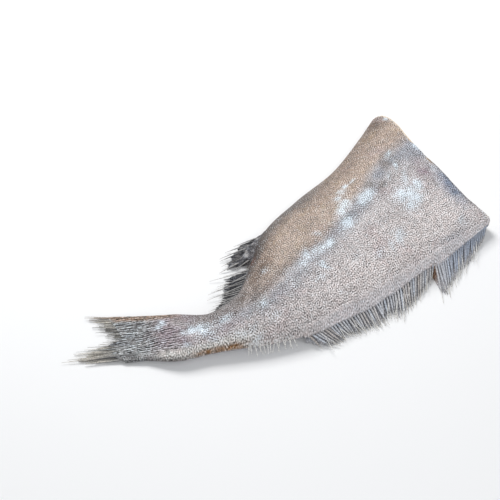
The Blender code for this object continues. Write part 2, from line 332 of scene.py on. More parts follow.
def close_and_face_out(piece, merge=0.01 * MM):
    """Merges doubles, turns all faces outwards and shades them smooth."""
    pick(piece)
    bpy.ops.object.mode_set(mode="EDIT")
    bpy.ops.mesh.select_all(action="SELECT")
    bpy.ops.mesh.remove_doubles(threshold=merge)
    bpy.ops.mesh.normals_make_consistent(inside=False)
    bpy.ops.object.mode_set(mode="OBJECT")
    bpy.ops.object.shade_smooth()


def thicken(piece, thickness, offset):
    """Gives a sheet its thickness; offset -1 grows it inwards, 0 both ways."""
    pick(piece)
    solid = piece.modifiers.new("thickness", "SOLIDIFY")
    solid.thickness = thickness
    solid.offset = offset
    bpy.ops.object.modifier_apply(modifier=solid.name)


def add_mask(piece, name, values):
    """Keeps one value, 0 to 1, at each point for the material."""
    attribute = piece.data.attributes.new(name, "FLOAT", "POINT")
    attribute.data.foreach_set("value", np.asarray(values, np.float32))


def add_tint(piece, colours):
    """Keeps a colour at each point for the material."""
    attribute = piece.data.attributes.new("tint", "FLOAT_COLOR", "POINT")
    packed = np.column_stack([colours, np.ones(len(colours))])
    attribute.data.foreach_set("color", packed.astype(np.float32).ravel())


def linear(red, green, blue):
    """An sRGB colour from 0 to 255 as the linear values that the materials take."""
    srgb = np.array((red, green, blue)) / 255
    return np.where(srgb <= 0.04045, srgb / 12.92, ((srgb + 0.055) / 1.055) ** 2.4)


def plain(colour, points):
    """The same colour at every point."""
    return np.tile(colour, (len(points), 1))


def paint(tint, *coats):
    """Lays coats over the colours. Each is (colour, how much of it shows, 0 to 1)."""
    for colour, amount in coats:
        amount = np.clip(amount, 0, 1).reshape(-1, 1)
        tint = tint * (1 - amount) + colour * amount
    return tint


def spot(points, x, y, half_length, half_width, turn):
    """A soft oval, 1 in its middle. x and y are mm before the footprint is centred, turn is in degrees."""
    angle = math.radians(turn)
    dx = points[:, 0] + FOOTPRINT_CENTRE[0] - x * MM
    dy = points[:, 1] + FOOTPRINT_CENTRE[1] - y * MM
    along = (dx * math.cos(angle) + dy * math.sin(angle)) / (half_length * MM)
    aside = (dy * math.cos(angle) - dx * math.sin(angle)) / (half_width * MM)
    return np.exp(-(along**2 + aside**2))


def spots(points, rows):
    """The strongest of several soft ovals; a row ends with its strength."""
    found = np.zeros(len(points))
    for x, y, half_length, half_width, turn, strength in rows:
        found = np.maximum(found, strength * spot(points, x, y, half_length, half_width, turn))
    return found


def finish(piece, material):
    """Gives a piece its material and fixes it to the fish."""
    piece.data.materials.clear()
    piece.data.materials.append(material)
    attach(piece, "root")
    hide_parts("halibut")


SKIN_COLUMNS, SKIN_ROWS = 300, 150
SKIN_THICKNESS = 1.1 * MM
SHORT_AT_BELLY = 1.8 * MM  # how far the skin ends short of the cut
SHORT_AT_BACK = 0.4 * MM
SKIN_LUMPS = ((26 * MM, 0.55), (9 * MM, 0.30), (3.6 * MM, 0.12))
CORNER_FOLD = (206, 56, 13, 11, 0)  # where the belly flap's corner is wrinkled, as spot() takes it
FOLD_WAY = (0.75, -0.66)
FOLD_LENGTH = 1.9 * MM
FOLD_HEIGHT = 0.40 * MM
STREAK_HEIGHT = 0.35 * MM
BLOTCHES = ((30 * MM, 5), (11 * MM, 6), (5 * MM, 7))  # size and seed of the skin's broad to fine mottling
STALK = (0.74, 0.90)  # share over which the body narrows to the tail
TAIL_SCALES = (0.92, 1.02)  # share over which the skin's colours give way to the tail's

BEIGE = linear(185, 179, 178)
# Painted light: the side towards the back edge, turned away from the key light, is made paler.
PAINTED_LIGHT_BEIGE = linear(219, 211, 208)
ROSE = linear(188, 166, 164)
TAN = linear(165, 147, 133)
OCHRE = linear(172, 149, 118)
BROWN = linear(110, 93, 81)
BAND_GREY = linear(138, 141, 149)
BLUE_GREY = linear(126, 136, 154)
# Painted light: the thin back rim and the fin's root beside it are made paler still.
PAINTED_LIGHT_EDGE = linear(224, 220, 222)
MAUVE = linear(140, 125, 131)
DUSKY = linear(122, 113, 108)
TAIL_GREY = linear(104, 103, 103)
TAIL_DARK = linear(66, 66, 70)
TAIL_PALE = linear(178, 181, 181)
PALE_YELLOW = linear(222, 219, 213)
ORANGE_BROWN = linear(134, 90, 34)
PALE_RIM = linear(224, 216, 204)
DARK_RIM = linear(104, 100, 100)
DRIED_RIM = linear(214, 178, 122)
# Painted shade: darker along the belly edge, over the stalk's belly half and along the stalk's back rim.
PAINTED_EDGE_SHADE = linear(98, 91, 87)
# Painted shade, dark brown, in the creases by the belly fin's root.
CREASE_SHADE_BROWN = linear(62, 50, 44)
EDGE_BROWN = linear(140, 112, 88)

# The blue-grey band over the backbone: its place across, half width and strength along the body.
BAND_FORM = (
    (0.00, 0.20, 0.18, 0.75),
    (0.10, 0.28, 0.16, 0.80),
    (0.14, 0.33, 0.12, 0.80),
    (0.21, 0.26, 0.12, 0.80),
    (0.29, 0.16, 0.12, 0.80),
    (0.34, 0.08, 0.12, 0.75),
    (0.40, 0.00, 0.13, 0.70),
    (0.46, -0.06, 0.15, 0.65),
    (0.53, -0.10, 0.18, 0.60),
    (0.60, -0.16, 0.24, 0.55),
    (0.70, -0.15, 0.28, 0.45),
    (0.82, -0.05, 0.35, 0.35),
    (1.00, 0.00, 0.50, 0.20),
)
# Patches of frost, and of each colour below: x and y, half length and half width in mm, turn in degrees,
# strength.
FROST = (
    (158, -54, 16, 12, 50, 0.75),
    (118, -32, 12, 7, 25, 1.0),
    (96, -28, 9, 7, 60, 0.85),
    (88, -33, 7, 6, 60, 0.8),
    (84, -48, 10, 7, 30, 0.8),
    (92, -49, 9, 5, 20, 0.35),
    (150, -51, 12, 9, 40, 0.85),
    (162, -60, 10, 7, 60, 0.85),
    (167, -36, 12, 4, 60, 0.7),
    (172, -49, 10, 6, 70, 0.8),
    (151, -66, 10, 8, 0, 0.65),
    (118, -87, 9, 6, 40, 0.75),
    (106, -91, 9, 5, 60, 0.5),
    (93, -91, 10, 5, 20, 0.4),
    (169, -18, 6, 2.5, 60, 0.75),
    (154, -25, 6, 3, 50, 0.5),
    (176, 2, 6, 3.5, 20, 0.6),
    (189, -100, 7, 4, 40, 0.5),
    (123, -5, 5, 2, 20, 0.7),
    (113, -6, 4, 3, 0, 0.8),
    (105, -11, 7, 5, 0, 0.6),
    (97, -16, 6, 4, 0, 0.7),
    (206, -6, 4, 8, 0, 0.85),
    (207, -20, 2.5, 6, 0, 0.6),
    (216, 53, 2.5, 4, 0, 0.9),
    (201, -41, 4, 6, 0, 0.45),
    (55, -57, 8, 5, 40, 0.8),
    (46, -57, 9, 5, 20, 0.65),
    (40, -55, 7, 4, 20, 0.6),
    (29, -54, 7, 5, 50, 0.7),
    (22, -61, 9, 6, 40, 0.5),
    (53, -41, 6, 3, -50, 0.5),
    (36, -75, 7, 2.2, -55, 0.85),
    (37, -71, 3, 3, 0, 0.7),
    (5, -58, 5, 5, 0, 0.2),
    (2, -73, 6, 6, 0, 0.25),
    (27, -82, 9, 5, 0, 0.35),
    (-11, -44, 6, 4, 0, 0.35),
    (-34, -74, 7, 5, 20, 0.7),
    (-30, -90, 9, 5, 20, 0.4),
    (-72, -66, 9, 4, 10, 0.6),
    (-95, -62, 9, 7, -20, 0.9),
    (-104, -57, 8, 4, -30, 0.9),
    (-91, -69, 8, 3, -20, 0.6),
    (-66, -86, 9, 4, -30, 0.5),
    (-90, -77, 8, 3, -30, 0.45),
    (-121, -32, 6, 4, -30, 0.5),
    (-125, -33, 5, 3, -30, 0.45),
    (-115, -66, 6, 3, -30, 0.4),
    (-57, -89, 9, 4, 10, 0.4),
    (-57, -98, 9, 4, 10, 0.5),
    (217, -106, 4, 6, 0, 0.4),
    (37, -104, 5, 2, 0, 0.4),
    (70, -83, 9, 5, 0, 0.3),
)
MAUVE_SPOTS = (
    (189, -38, 9, 9, 0, 0.75),
    (193, -25, 6, 6, 0, 0.5),
    (-106, -35, 14, 5, -30, 0.85),
    (-122, -47, 12, 10, 0, 0.9),
    (-115, -60, 9, 6, -30, 0.8),
    (-121, -66, 7, 4, -30, 0.6),
    (-100, -45, 8, 4, -30, 0.5),
)
BROWN_SPOTS = (
    (-13, -41, 16, 8, 40, 1.0),
    (-20, -60, 14, 6, 40, 0.55),
    (-7, -55, 9, 6, 30, 0.5),
    # painted shade by the belly edge
    (8, -17, 17, 9, 39, 0.6),
    (-32, -57, 14, 7, 35, 0.8),
    (-46, -57, 12, 6, 30, 0.75),
    (83, -1, 22, 9, 10, 0.45),
    (82, 9, 22, 6, 10, 0.45),
    (50, -24, 14, 9, 10, 0.30),
    (200, 58, 14, 12, 30, 1.0),
    (161, -6, 12, 4, 50, 0.7),
    (140, 20, 30, 8, 20, 0.4),
    (-20, -42, 26, 12, 45, 0.8),
)
TAIL_TUFTS = (
    (-158, -34, 7, 3, -30, 0.8),
    (-168, -33, 6, 2, -30, 0.7),
    (-150, -44, 8, 2.5, -30, 0.7),
    (-150, -12, 5, 1.5, -30, 0.5),
    (-145, -38, 7, 4, -30, 0.5),
    (-140, -26, 6, 3, -30, 0.5),
    (-145, -52, 7, 4, -30, 0.5),
)
DUSKY_SPOTS = (
    (163, -9, 9, 6, 45, 0.85),
    (213, 61, 4, 3, 0, 0.6),
    (215, -112, 3, 4, 0, 0.6),
    (176, 2, 9, 6, 45, 0.9),
    (170, 20, 9, 7, 45, 0.3),
    (174, -13, 8, 5, 45, 0.6),
    (131, -23, 9, 6, 30, 0.9),
    (140, -29, 7, 5, 30, 0.8),
    (155, -25, 6, 5, 30, 0.5),
    (85, -42, 6, 4, 20, 0.4),
    (-108, -35, 11, 5, -25, 0.8),
    (54, 12, 12, 6, 39, 0.35),
    (59, -58, 9, 6, 20, 0.5),
    (-34, -71, 9, 7, 30, 0.8),
    (45, -119, 9, 4, 0, 0.45),
)
# Painted shade in the creases by the belly fin's root.
CREASE_SHADE_SPOTS = (
    (-3, -14, 14, 4.5, 39, 1.0),
    (-9, -21, 7, 5, 39, 1.0),
    (-5, -22, 9, 4, 39, 0.6),
    (-20, -29, 9, 3, 39, 0.6),
    (14, -2, 12, 4, 39, 0.35),
)
BLUE_SPOTS = (
    (204, -67, 11, 22, 0, 1.0),
    (190, -106, 14, 6, 30, 0.2),
    (170, -112, 18, 5, 0, 0.35),
)
# Painted shade in the notch between the tail's lobes and in a fold beside it.
TAIL_SHADE_SPOTS = (
    (-165, -10, 2.5, 9, 0, 0.9),
    (-164, -20, 5, 3, -30, 0.8),
)
GREY_SPOTS = (
    (203, -50, 5, 10, 0, 0.5),
    (203, -8, 8, 14, 0, 0.7),
    (-30, -74, 14, 6, 10, 0.4),
    (-53, -71, 16, 5, 10, 0.5),
)


def across_of(v):
    """Spreads a sheet's rows across the body, closer together near the thin edges."""
    return 0.5 * (2 * v - 1) - 0.5 * np.cos(math.pi * v)


# How far the scales run out on the tail's rays in mm, by place across, and how ragged they end there.
TAIL_OVERLAP = (
    (-1.00, 16, 5),
    (-0.70, 30, 8),
    (-0.20, 32, 8),
    (0.02, 20, 4),
    (0.10, 19, 1),
    (0.50, 25, 0.5),
    (0.85, 31, 0.5),
    (1.00, 32, 3),
)


TAIL_RAGS = 9  # rags from one edge of the tail to its middle line


def tail_overlap(across, seed):
    """How far the scales run out on the tail's rays, in metres."""
    at = np.column_stack([across * TAIL_RAGS, np.full(len(across), seed), np.zeros(len(across))])
    reach, ragged = straight_rows(TAIL_OVERLAP, across).T
    return (reach + ragged * (0.6 * ripple(at, 1.0, seed) + ripple(at, 0.25, seed))) * MM


def skin_lumps(points, share, edge_distance, seed):
    """The soft unevenness of the skin, about -1 to 1, fading out to its thin edges."""
    lumps = layers(points, seed, *SKIN_LUMPS)
    return lumps * fade(edge_distance, 0.5 * MM, 10 * MM) * (1 - 0.6 * fade(share, 0.9, 1.0))


def skin_sheet(name, side, seed, lump_height, reach):
    """One side's skin as a sheet.

    It comes with each point's share, place across, smooth place, distance from the edge and lump height.
    """
    sheet, u, v = sheet_grid(name, SKIN_COLUMNS, SKIN_ROWS)
    across = across_of(v)
    short = SHORT_AT_BACK + (SHORT_AT_BELLY - SHORT_AT_BACK) * fade(across, 0.20, 0.32)
    at_cut = short / BODY_RUN
    at_tail = 1 + tail_overlap(across, seed) * reach / BODY_RUN
    share = at_tail + (at_cut - at_tail) * u
    smooth = side(share, across)
    edge_distance = (1 - np.abs(across)) * body_place(share, across)[1]
    lumps = skin_lumps(smooth, share, edge_distance, seed) * lump_height
    return sheet, share, across, smooth, edge_distance, lumps


def streak_noise(points, turn, length, width, seed):
    """Noise drawn out in one direction, for fibres and streaks."""
    angle = math.radians(turn)
    along = points[:, 0] * math.cos(angle) + points[:, 1] * math.sin(angle)
    aside = points[:, 1] * math.cos(angle) - points[:, 0] * math.sin(angle)
    return ripple(np.column_stack([along / length, aside / width, points[:, 2] / width]), 1.0, seed)


upper_skin, share, across, smooth, edge_distance, lumps = skin_sheet(
    "upper_skin", upper_side, seed=1, lump_height=MM, reach=1.0,
)
across_folds = smooth[:, 0] * FOLD_WAY[0] + smooth[:, 1] * FOLD_WAY[1]
folds = np.sin(across_folds / FOLD_LENGTH + 2.5 * ripple(smooth, 12 * MM, 4)) * spot(smooth, *CORNER_FOLD)
streaks = streak_noise(smooth, turn=151, length=16 * MM, width=2.2 * MM, seed=9) * fade(share, *STALK)
upper_points = smooth.copy()
upper_points[:, 2] += lumps + FOLD_HEIGHT * folds + STREAK_HEIGHT * streaks
set_points(upper_skin, upper_points)


def tail_colours(points):
    """The tail's streaks: dark rays, pale scales between them, tufts, and painted shade in the notch between
    its lobes and in a fold beside it.
    """
    streak = streak_noise(points, turn=149, length=14 * MM, width=1.3 * MM, seed=74)
    coarse = streak_noise(points, turn=150, length=26 * MM, width=4 * MM, seed=75)
    return paint(
        plain(TAIL_GREY, points),
        (TAIL_DARK, fade(-streak - 0.5 * coarse, 0.05, 0.6) * 0.75),
        (TAIL_PALE, fade(streak + 0.5 * coarse, 0.1, 0.6) * 0.6),
        # painted shade in the notch and the fold
        (TAIL_DARK, spots(points, TAIL_SHADE_SPOTS)),
        (TAIL_PALE, spots(points, TAIL_TUFTS)),
    )


def skin_colours(points, share, across, edge_distance):
    """The regional colours of the upper side, with painted light and shade in them, and the part of them
    that is frost.
    """
    blotch, small_blotch, fine_blotch = (ripple(points, size, seed) for size, seed in BLOTCHES)
    band_place, band_width, band_strength = smooth_rows(BAND_FORM, share).T
    band = hump(across + 0.03 * blotch, band_place, band_width) * band_strength
    belly = fade(across + 0.10 * blotch - (band_place - 0.05), 0.02, 0.30) * (1 - fade(share, 0.62, 0.80))
    # Brown with painted shade along the belly rim.
    belly_rim_brown_shade = fade(across + 0.10 * small_blotch, 0.66, 1.0)
    # Painted light: mask of the back half, made paler where the key light falls off.
    back = fade(-across, 0.1, 0.7) * (1 - 0.6 * fade(share, 0.4, 0.6)) * (1 - fade(share, 0.8, 0.95))
    # Painted light: mask of the thin back rim.
    painted_light_back_rim = (1 - fade(edge_distance, 0, 12 * MM)) * (across < 0) * (1 - fade(share, 0.5, 0.6))
    stalk_back = stretch(share, 0.66, 0.76, 0.95, 1.0) * fade(-across, 0.50, 0.85)
    orange = stretch(share, 0.70, 0.76, 0.84, 0.90) * fade(-across, 0.80, 0.96)
    # Painted shade along the belly edge and over the belly half of the tail's stalk.
    belly_painted_shade = fade(across + 0.08 * small_blotch, 0.64, 0.92) * fade(share, 0.26, 0.42) * 0.85
    stalk_painted_shade = fade(across + 0.20 * small_blotch, -0.35, 0.45) * fade(share, 0.68, 0.76) * 0.72

    def patches(rows, mottling):
        """Spots broken up by the fine blotches."""
        return spots(points, rows) * (1 + mottling * fine_blotch)

    tint = paint(
        plain(BEIGE, points),
        (TAN, belly),
        # brown and painted shade along the belly rim
        (BROWN, belly_rim_brown_shade * 0.75),
        (OCHRE, belly * fade(small_blotch + 0.5 * fine_blotch, 0.05, 0.6) * 0.4),
        # painted light on the back half
        (PAINTED_LIGHT_BEIGE, back * 0.9),
        (ROSE, fade(blotch + 0.6 * small_blotch, 0.1, 0.7) * 0.4),
        (BROWN, patches(BROWN_SPOTS, 0.5)),
        (BAND_GREY, band * (1 + 0.3 * small_blotch + 0.3 * fine_blotch)),
        (BAND_GREY, patches(GREY_SPOTS, 0.3)),
        (BLUE_GREY, patches(BLUE_SPOTS, 0.3)),
        (MAUVE, patches(MAUVE_SPOTS, 0.8)),
        (DUSKY, patches(DUSKY_SPOTS, 0.5)),
        # painted light on the back rim
        (PAINTED_LIGHT_EDGE, painted_light_back_rim * 0.8),
        (MAUVE, fade(share, 0.72, 0.84) * (0.35 + 0.7 * small_blotch)),
        (PALE_YELLOW, stalk_back * 0.9),
        (ORANGE_BROWN, orange * (0.8 + 0.5 * fine_blotch)),
        # painted shade along the belly edge and the stalk
        (PAINTED_EDGE_SHADE, np.maximum(belly_painted_shade, stalk_painted_shade) * (1 - fade(share, 0.83, 0.94))),
        # painted shade along the back rim of the tail's stalk
        (PAINTED_EDGE_SHADE, fade(-across, 0.86, 1.0) * fade(share, 0.84, 0.90) * 0.8),
        # painted shade in the creases by the belly fin
        (CREASE_SHADE_BROWN, patches(CREASE_SHADE_SPOTS, 0.4)),
        (tail_colours(points), fade(share, *TAIL_SCALES)),
        (EDGE_BROWN, fade(across, 0.66, 0.84) * fade(share, 0.88, 0.95) * (0.9 + 0.4 * fine_blotch)),
    )
    from_cut = share * BODY_RUN
    pale_part = np.maximum(fade(across, 0.25, 0.4), fade(-across, 0.86, 0.96))
    dark_part = (1 - fade(across, 0.0, 0.2)) * fade(across, -0.92, -0.75)
    tint = paint(
        tint,
        (PALE_RIM, (1 - fade(from_cut, 1.5 * MM, 3.5 * MM)) * pale_part * 0.9),
        (DRIED_RIM, (1 - fade(from_cut, 1.2 * MM, 2.6 * MM)) * hump(across, -0.06, 0.06)),
        (DARK_RIM, (1 - fade(from_cut, 0.8 * MM, 2.2 * MM)) * dark_part * 0.8),
    )
    frost = spots(points, FROST) * (1 + 0.35 * small_blotch + 0.35 * fine_blotch)
    frost += 0.10 * fade(small_blotch, 0.2, 0.7)
    frost += fade(share, 0.76, 0.88) * (0.05 + 0.3 * fine_blotch) * (1 - fade(-across, 0.5, 0.8))
    return tint, np.clip(frost, 0, 1)


tint, frost = skin_colours(smooth, share, across, edge_distance)
to_end = (1 - share) * BODY_RUN + tail_overlap(across, 1)
worn_end = (1 - fade(to_end, 0.6 * MM, 1.8 * MM)) * fade(across, 0.05, 0.15)
add_tint(upper_skin, paint(tint, (TAIL_PALE, worn_end * 0.9)))
add_mask(upper_skin, "frost", frost)
add_mask(upper_skin, "streaky", fade(share, 0.84, 0.96) * (1 - 0.7 * fade(-across, 0.6, 0.9)))
close_and_face_out(upper_skin)


def top_up(piece):
    """Turns a sheet over if most of it faces down."""
    normals = np.empty(len(piece.data.polygons) * 3)
    piece.data.polygons.foreach_get("normal", normals)
    if normals.reshape(-1, 3)[:, 2].mean() < 0:
        piece.data.flip_normals()


top_up(upper_skin)
thicken(upper_skin, SKIN_THICKNESS, offset=-1)


def node(tree, kind, *plugs, **settings):
    """Adds a shader node. A plug is (input, value) or (input, the output that feeds it)."""
    made = tree.nodes.new("ShaderNode" + kind)
    for name, value in settings.items():
        setattr(made, name, value)
    for socket, value in plugs:
        if isinstance(value, bpy.types.NodeSocket):
            tree.links.new(value, made.inputs[socket])
        else:
            made.inputs[socket].default_value = value
    return made


def math_node(tree, operation, *values):
    """Arithmetic on two or three outputs or plain values."""
    return node(tree, "Math", *enumerate(values), operation=operation).outputs[0]


def grain(tree, place, scale, detail, roughness=0.5, distortion=0.0):
    """Noise on a piece, about 0 to 1. The scale is in lumps to the metre."""
    return node(
        tree, "TexNoise", ("Vector", place), ("Scale", scale), ("Detail", detail), ("Roughness", roughness),
        ("Distortion", distortion),
    ).outputs[0]


def remap(tree, value, low, high, new_low=0.0, new_high=1.0):
    """The value with its range from low to high drawn out or pressed to a new one."""
    return node(
        tree, "MapRange", ("Value", value), ("From Min", low), ("From Max", high), ("To Min", new_low),
        ("To Max", new_high),
    ).outputs[0]


def blend(tree, amount, below, above):
    """A mix of two values."""
    return node(tree, "Mix", ("Factor", amount), ("A", below), ("B", above)).outputs[0]


def blend_colours(tree, amount, below, above):
    """A colour mix; the amount and colours are outputs or plain values."""
    return node(tree, "Mix", (0, amount), (6, below), (7, above), data_type="RGBA").outputs[2]


def shaded(tree, colour, light):
    """The colour, lighter or darker from place to place."""
    return node(tree, "VectorMath", (0, colour), ("Scale", light), operation="SCALE").outputs[0]


def wire(tree, shader, colour, roughness, height, strength, depth):
    """Feeds the shader its colour, its roughness and a relief of the given strength and depth."""
    relief = node(tree, "Bump", ("Strength", strength), ("Distance", depth), ("Height", height)).outputs[0]
    for socket, value in (("Base Color", colour), ("Roughness", roughness), ("Normal", relief)):
        tree.links.new(value, shader.inputs[socket])


def scale_group():
    """Fine granular scales and drawn-out streaks: the light and dark of each."""
    group = bpy.data.node_groups.new("fish_scales", "ShaderNodeTree")
    for socket, way in (("Streaky", "INPUT"), ("Shade", "OUTPUT"), ("Height", "OUTPUT")):
        group.interface.new_socket(socket, in_out=way, socket_type="NodeSocketFloat")
    entry = group.nodes.new("NodeGroupInput")
    leave = group.nodes.new("NodeGroupOutput")
    place = node(group, "TexCoord").outputs["Object"]
    worms = node(
        group, "TexGabor", ("Vector", place), ("Scale", 190.0), ("Frequency", 2.45), ("Anisotropy", 0.0),
        gabor_type="2D",
    ).outputs[0]
    grains = grain(group, place, scale=700.0, detail=2.0, roughness=0.7)
    even = blend(group, 0.48, remap(group, worms, 0.30, 0.70), remap(group, grains, 0.34, 0.66))
    turned = node(group, "Mapping", ("Vector", place), ("Rotation", (0, 0, math.radians(-151)))).outputs[0]
    drawn = node(group, "VectorMath", (0, turned), (1, (0.36, 1, 1)), operation="MULTIPLY").outputs[0]
    streaks = node(
        group, "TexGabor", ("Vector", drawn), ("Scale", 260.0), ("Frequency", 1.7), ("Anisotropy", 0.8),
        ("Orientation", math.pi / 2), gabor_type="2D",
    ).outputs[0]
    threads = grain(group, drawn, scale=900.0, detail=2.0, roughness=0.7, distortion=0.8)
    streaky = blend(group, 0.5, remap(group, streaks, 0.32, 0.68), remap(group, threads, 0.36, 0.64))
    shade = blend(group, entry.outputs["Streaky"], even, streaky)
    for socket in ("Shade", "Height"):
        group.links.new(shade, leave.inputs[socket])
    return group


fish_scales = scale_group()
FROST_WHITE = linear(225, 237, 246)
WARMER = (1.08, 0.98, 0.955, 1)
COOLER = (0.93, 1.013, 1.05, 1)
MEAN_SHADE = 0.52  # of the scales


def skin_material(name, contrast):
    """Scaly skin: regional tint, granules, frost that breaks up along them, and a moist sheen."""
    made, tree, shader = new_material(name)
    tint = node(tree, "Attribute", attribute_name="tint").outputs["Color"]
    masks = (node(tree, "Attribute", attribute_name=mask) for mask in ("frost", "streaky"))
    frost, streaky = (mask.outputs["Fac"] for mask in masks)
    place = node(tree, "TexCoord").outputs["Object"]
    scales = node(tree, "Group", ("Streaky", streaky), node_tree=fish_scales)
    centred = math_node(tree, "SUBTRACT", scales.outputs["Shade"], MEAN_SHADE)
    stronger = math_node(tree, "MULTIPLY_ADD", streaky, 0.6, 1.0)
    strength = math_node(tree, "MULTIPLY", stronger, contrast)
    shade = math_node(tree, "MULTIPLY_ADD", centred, strength, 1.0)
    cloud = remap(tree, grain(tree, place, scale=120.0, detail=3.0, roughness=0.65), 0.3, 0.7, 0.84, 1.16)
    hue = blend_colours(tree, grain(tree, place, scale=260.0, detail=2.0), WARMER, COOLER)
    hued = node(tree, "VectorMath", (0, tint), (1, hue), operation="MULTIPLY").outputs[0]
    body = shaded(tree, hued, math_node(tree, "MULTIPLY", shade, cloud))
    white = shaded(tree, tuple(FROST_WHITE), math_node(tree, "MULTIPLY_ADD", centred, 0.8, 1.0))
    grip = math_node(tree, "MULTIPLY_ADD", scales.outputs["Shade"], 1.10, -0.61)
    cover = remap(tree, math_node(tree, "ADD", frost, grip), 0.10, 0.92, 0.0, 0.86)
    frosted = blend_colours(tree, cover, body, white)
    rough = remap(tree, scales.outputs["Shade"], 0.0, 1.0, 0.40, 0.62)
    wire(tree, shader, frosted, rough, scales.outputs["Height"], strength=0.3, depth=0.6 * MM)
    shader.inputs["Specular IOR Level"].default_value = 0.35
    return made


finish(upper_skin, skin_material("scaly_skin", contrast=2.3))

# ------------------------------------------------------------------ the skin of the side it lies on
# The blind side's skin is as thin and scaly, a little paler and pinker. It lies flat on the table and
# turns up to meet the other skin along the thin edges.

BLIND_BEIGE = linear(188, 180, 178)
BLIND_MAUVE = linear(166, 152, 158)
EDGE_GREY = linear(160, 160, 166)

under_skin, share, across, smooth, edge_distance, lumps = skin_sheet(
    "under_skin", under_side, seed=21, lump_height=0.4 * MM, reach=0.4,
)
under_points = smooth.copy()
under_points[:, 2] = np.maximum(under_points[:, 2] + np.abs(lumps), 0)
set_points(under_skin, under_points)
blotch = ripple(smooth, 30 * MM, 25)
small_blotch = ripple(smooth, 11 * MM, 26)
at_back = (1 - fade(edge_distance, 3 * MM, 20 * MM)) * (across < 0)
tint = paint(
    plain(BLIND_BEIGE, smooth),
    (BLIND_MAUVE, fade(blotch + 0.6 * small_blotch, 0.0, 0.8) * 0.7),
    (TAN, fade(across, 0.5, 0.95) * (1 - fade(share, 0.6, 0.7))),
    (EDGE_GREY, at_back * 0.7),
    (BAND_GREY, hump(across, 0, 0.14) * 0.5),
    (tail_colours(smooth), fade(share, *TAIL_SCALES)),
)
add_tint(under_skin, tint)
add_mask(under_skin, "frost", fade(small_blotch + 0.5 * blotch, 0.3, 0.9) * 0.5)
add_mask(under_skin, "streaky", fade(share, *STALK))
close_and_face_out(under_skin)
top_up(under_skin)
under_skin.data.flip_normals()
thicken(under_skin, SKIN_THICKNESS, offset=-1)
finish(under_skin, skin_material("scaly_skin_blind", contrast=0.7))

# ------------------------------------------------------------------ the flesh and the face of the head cut
# White flesh fills the skins. It shows at the head cut, where one straight knife stroke went through the
# four long muscles and the backbone, and left the blocks of muscle a little proud of the skin.

CORE_COLUMNS = 110
FACE_ROWS = 40
FACE_COLUMNS = 190
CORE_INSET = 0.95 * MM
FLESH_CREASE = math.radians(50)  # sharper edges than this stay sharp
CUT_ACROSS = np.linspace(-1, 1, 401)  # the places at which the cut's line is read
CUT_HALF_DEPTH = 88 * MM
SPINE_ACROSS = 0.02  # place of the backbone in the cut face
SPINE_HEIGHT = 17 * MM
SPINE_RADIUS = 4.6 * MM
GUT_ACROSS = 0.46
GUT_HEIGHT = 17 * MM
GUT_SIZE = np.array((70, 25, 9)) * MM  # depth of the gutted hollow, half its width and half its height
GUT_LUMPS = ((16 * MM, 1.0), (6 * MM, 0.5))
GUT_ROUGHNESS = 0.13
GUT_SEGMENTS = 72
GUT_RINGS = 60
CLOT_OFFSET = np.array((9, -1)) * MM  # from the backbone, sideways and up
CLOT_SIZE = np.array((9, 4)) * MM

CREAM = linear(220, 207, 188)
FLESH_WHITE = linear(238, 237, 230)
FLESH_PINK = linear(222, 198, 184)
STAIN_YELLOW = linear(222, 200, 152)
SEPTUM = linear(198, 184, 168)
BLOOD = linear(198, 110, 84)
BLOOD_DARK = linear(120, 58, 44)
DRIED_EDGE = linear(206, 180, 142)
BONE = linear(230, 216, 198)


def get_points(piece):
    """All of a piece's points, one row each."""
    points = np.empty(len(piece.data.vertices) * 3)
    piece.data.vertices.foreach_get("co", points)
    return points.reshape(-1, 3)


def core_point(share, across, level):
    """Points of the flesh inside the skins; level is 0 at the lower skin and 1 at the upper."""
    half_depth = body_place(share, across)[1]
    drawn_in = across * (1 - CORE_INSET / half_depth)
    top, bottom = upper_side(share, drawn_in), under_side(share, drawn_in)
    high, low = top[:, 2] - CORE_INSET, bottom[:, 2] + CORE_INSET
    middle = (high + low) / 2
    high, low = np.maximum(high, middle), np.minimum(low, middle)
    return np.column_stack([top[:, 0:2], low + (high - low) * level])


def join(pieces):
    """Makes one piece of several."""
    bpy.ops.object.select_all(action="DESELECT")
    for piece in pieces:
        piece.select_set(True)
    bpy.context.view_layer.objects.active = pieces[0]
    bpy.ops.object.join()
    return pieces[0]


flesh_sides = []
for level in (0, 1):
    sheet, u, v = sheet_grid("flesh", CORE_COLUMNS, FACE_COLUMNS)
    set_points(sheet, core_point(1 - u, across_of(v), level))
    flesh_sides.append(sheet)
for end in (0, 1):
    sheet, u, v = sheet_grid("flesh_end", FACE_ROWS, FACE_COLUMNS)
    set_points(sheet, core_point(np.full(len(u), float(end)), across_of(v), u))
    flesh_sides.append(sheet)
flesh = join(flesh_sides)
close_and_face_out(flesh)

cut_plan = body_place(0.0, CUT_ACROSS)[0]
points = get_points(flesh)
face_across = np.interp(points[:, 1], cut_plan[:, 1], CUT_ACROSS)
spine_y, gut_y = np.interp((SPINE_ACROSS, GUT_ACROSS), CUT_ACROSS, cut_plan[:, 1])


def behind_cut(points):
    """How far behind the cut's line each point is."""
    return np.interp(points[:, 1], cut_plan[:, 1], cut_plan[:, 0]) - points[:, 0]


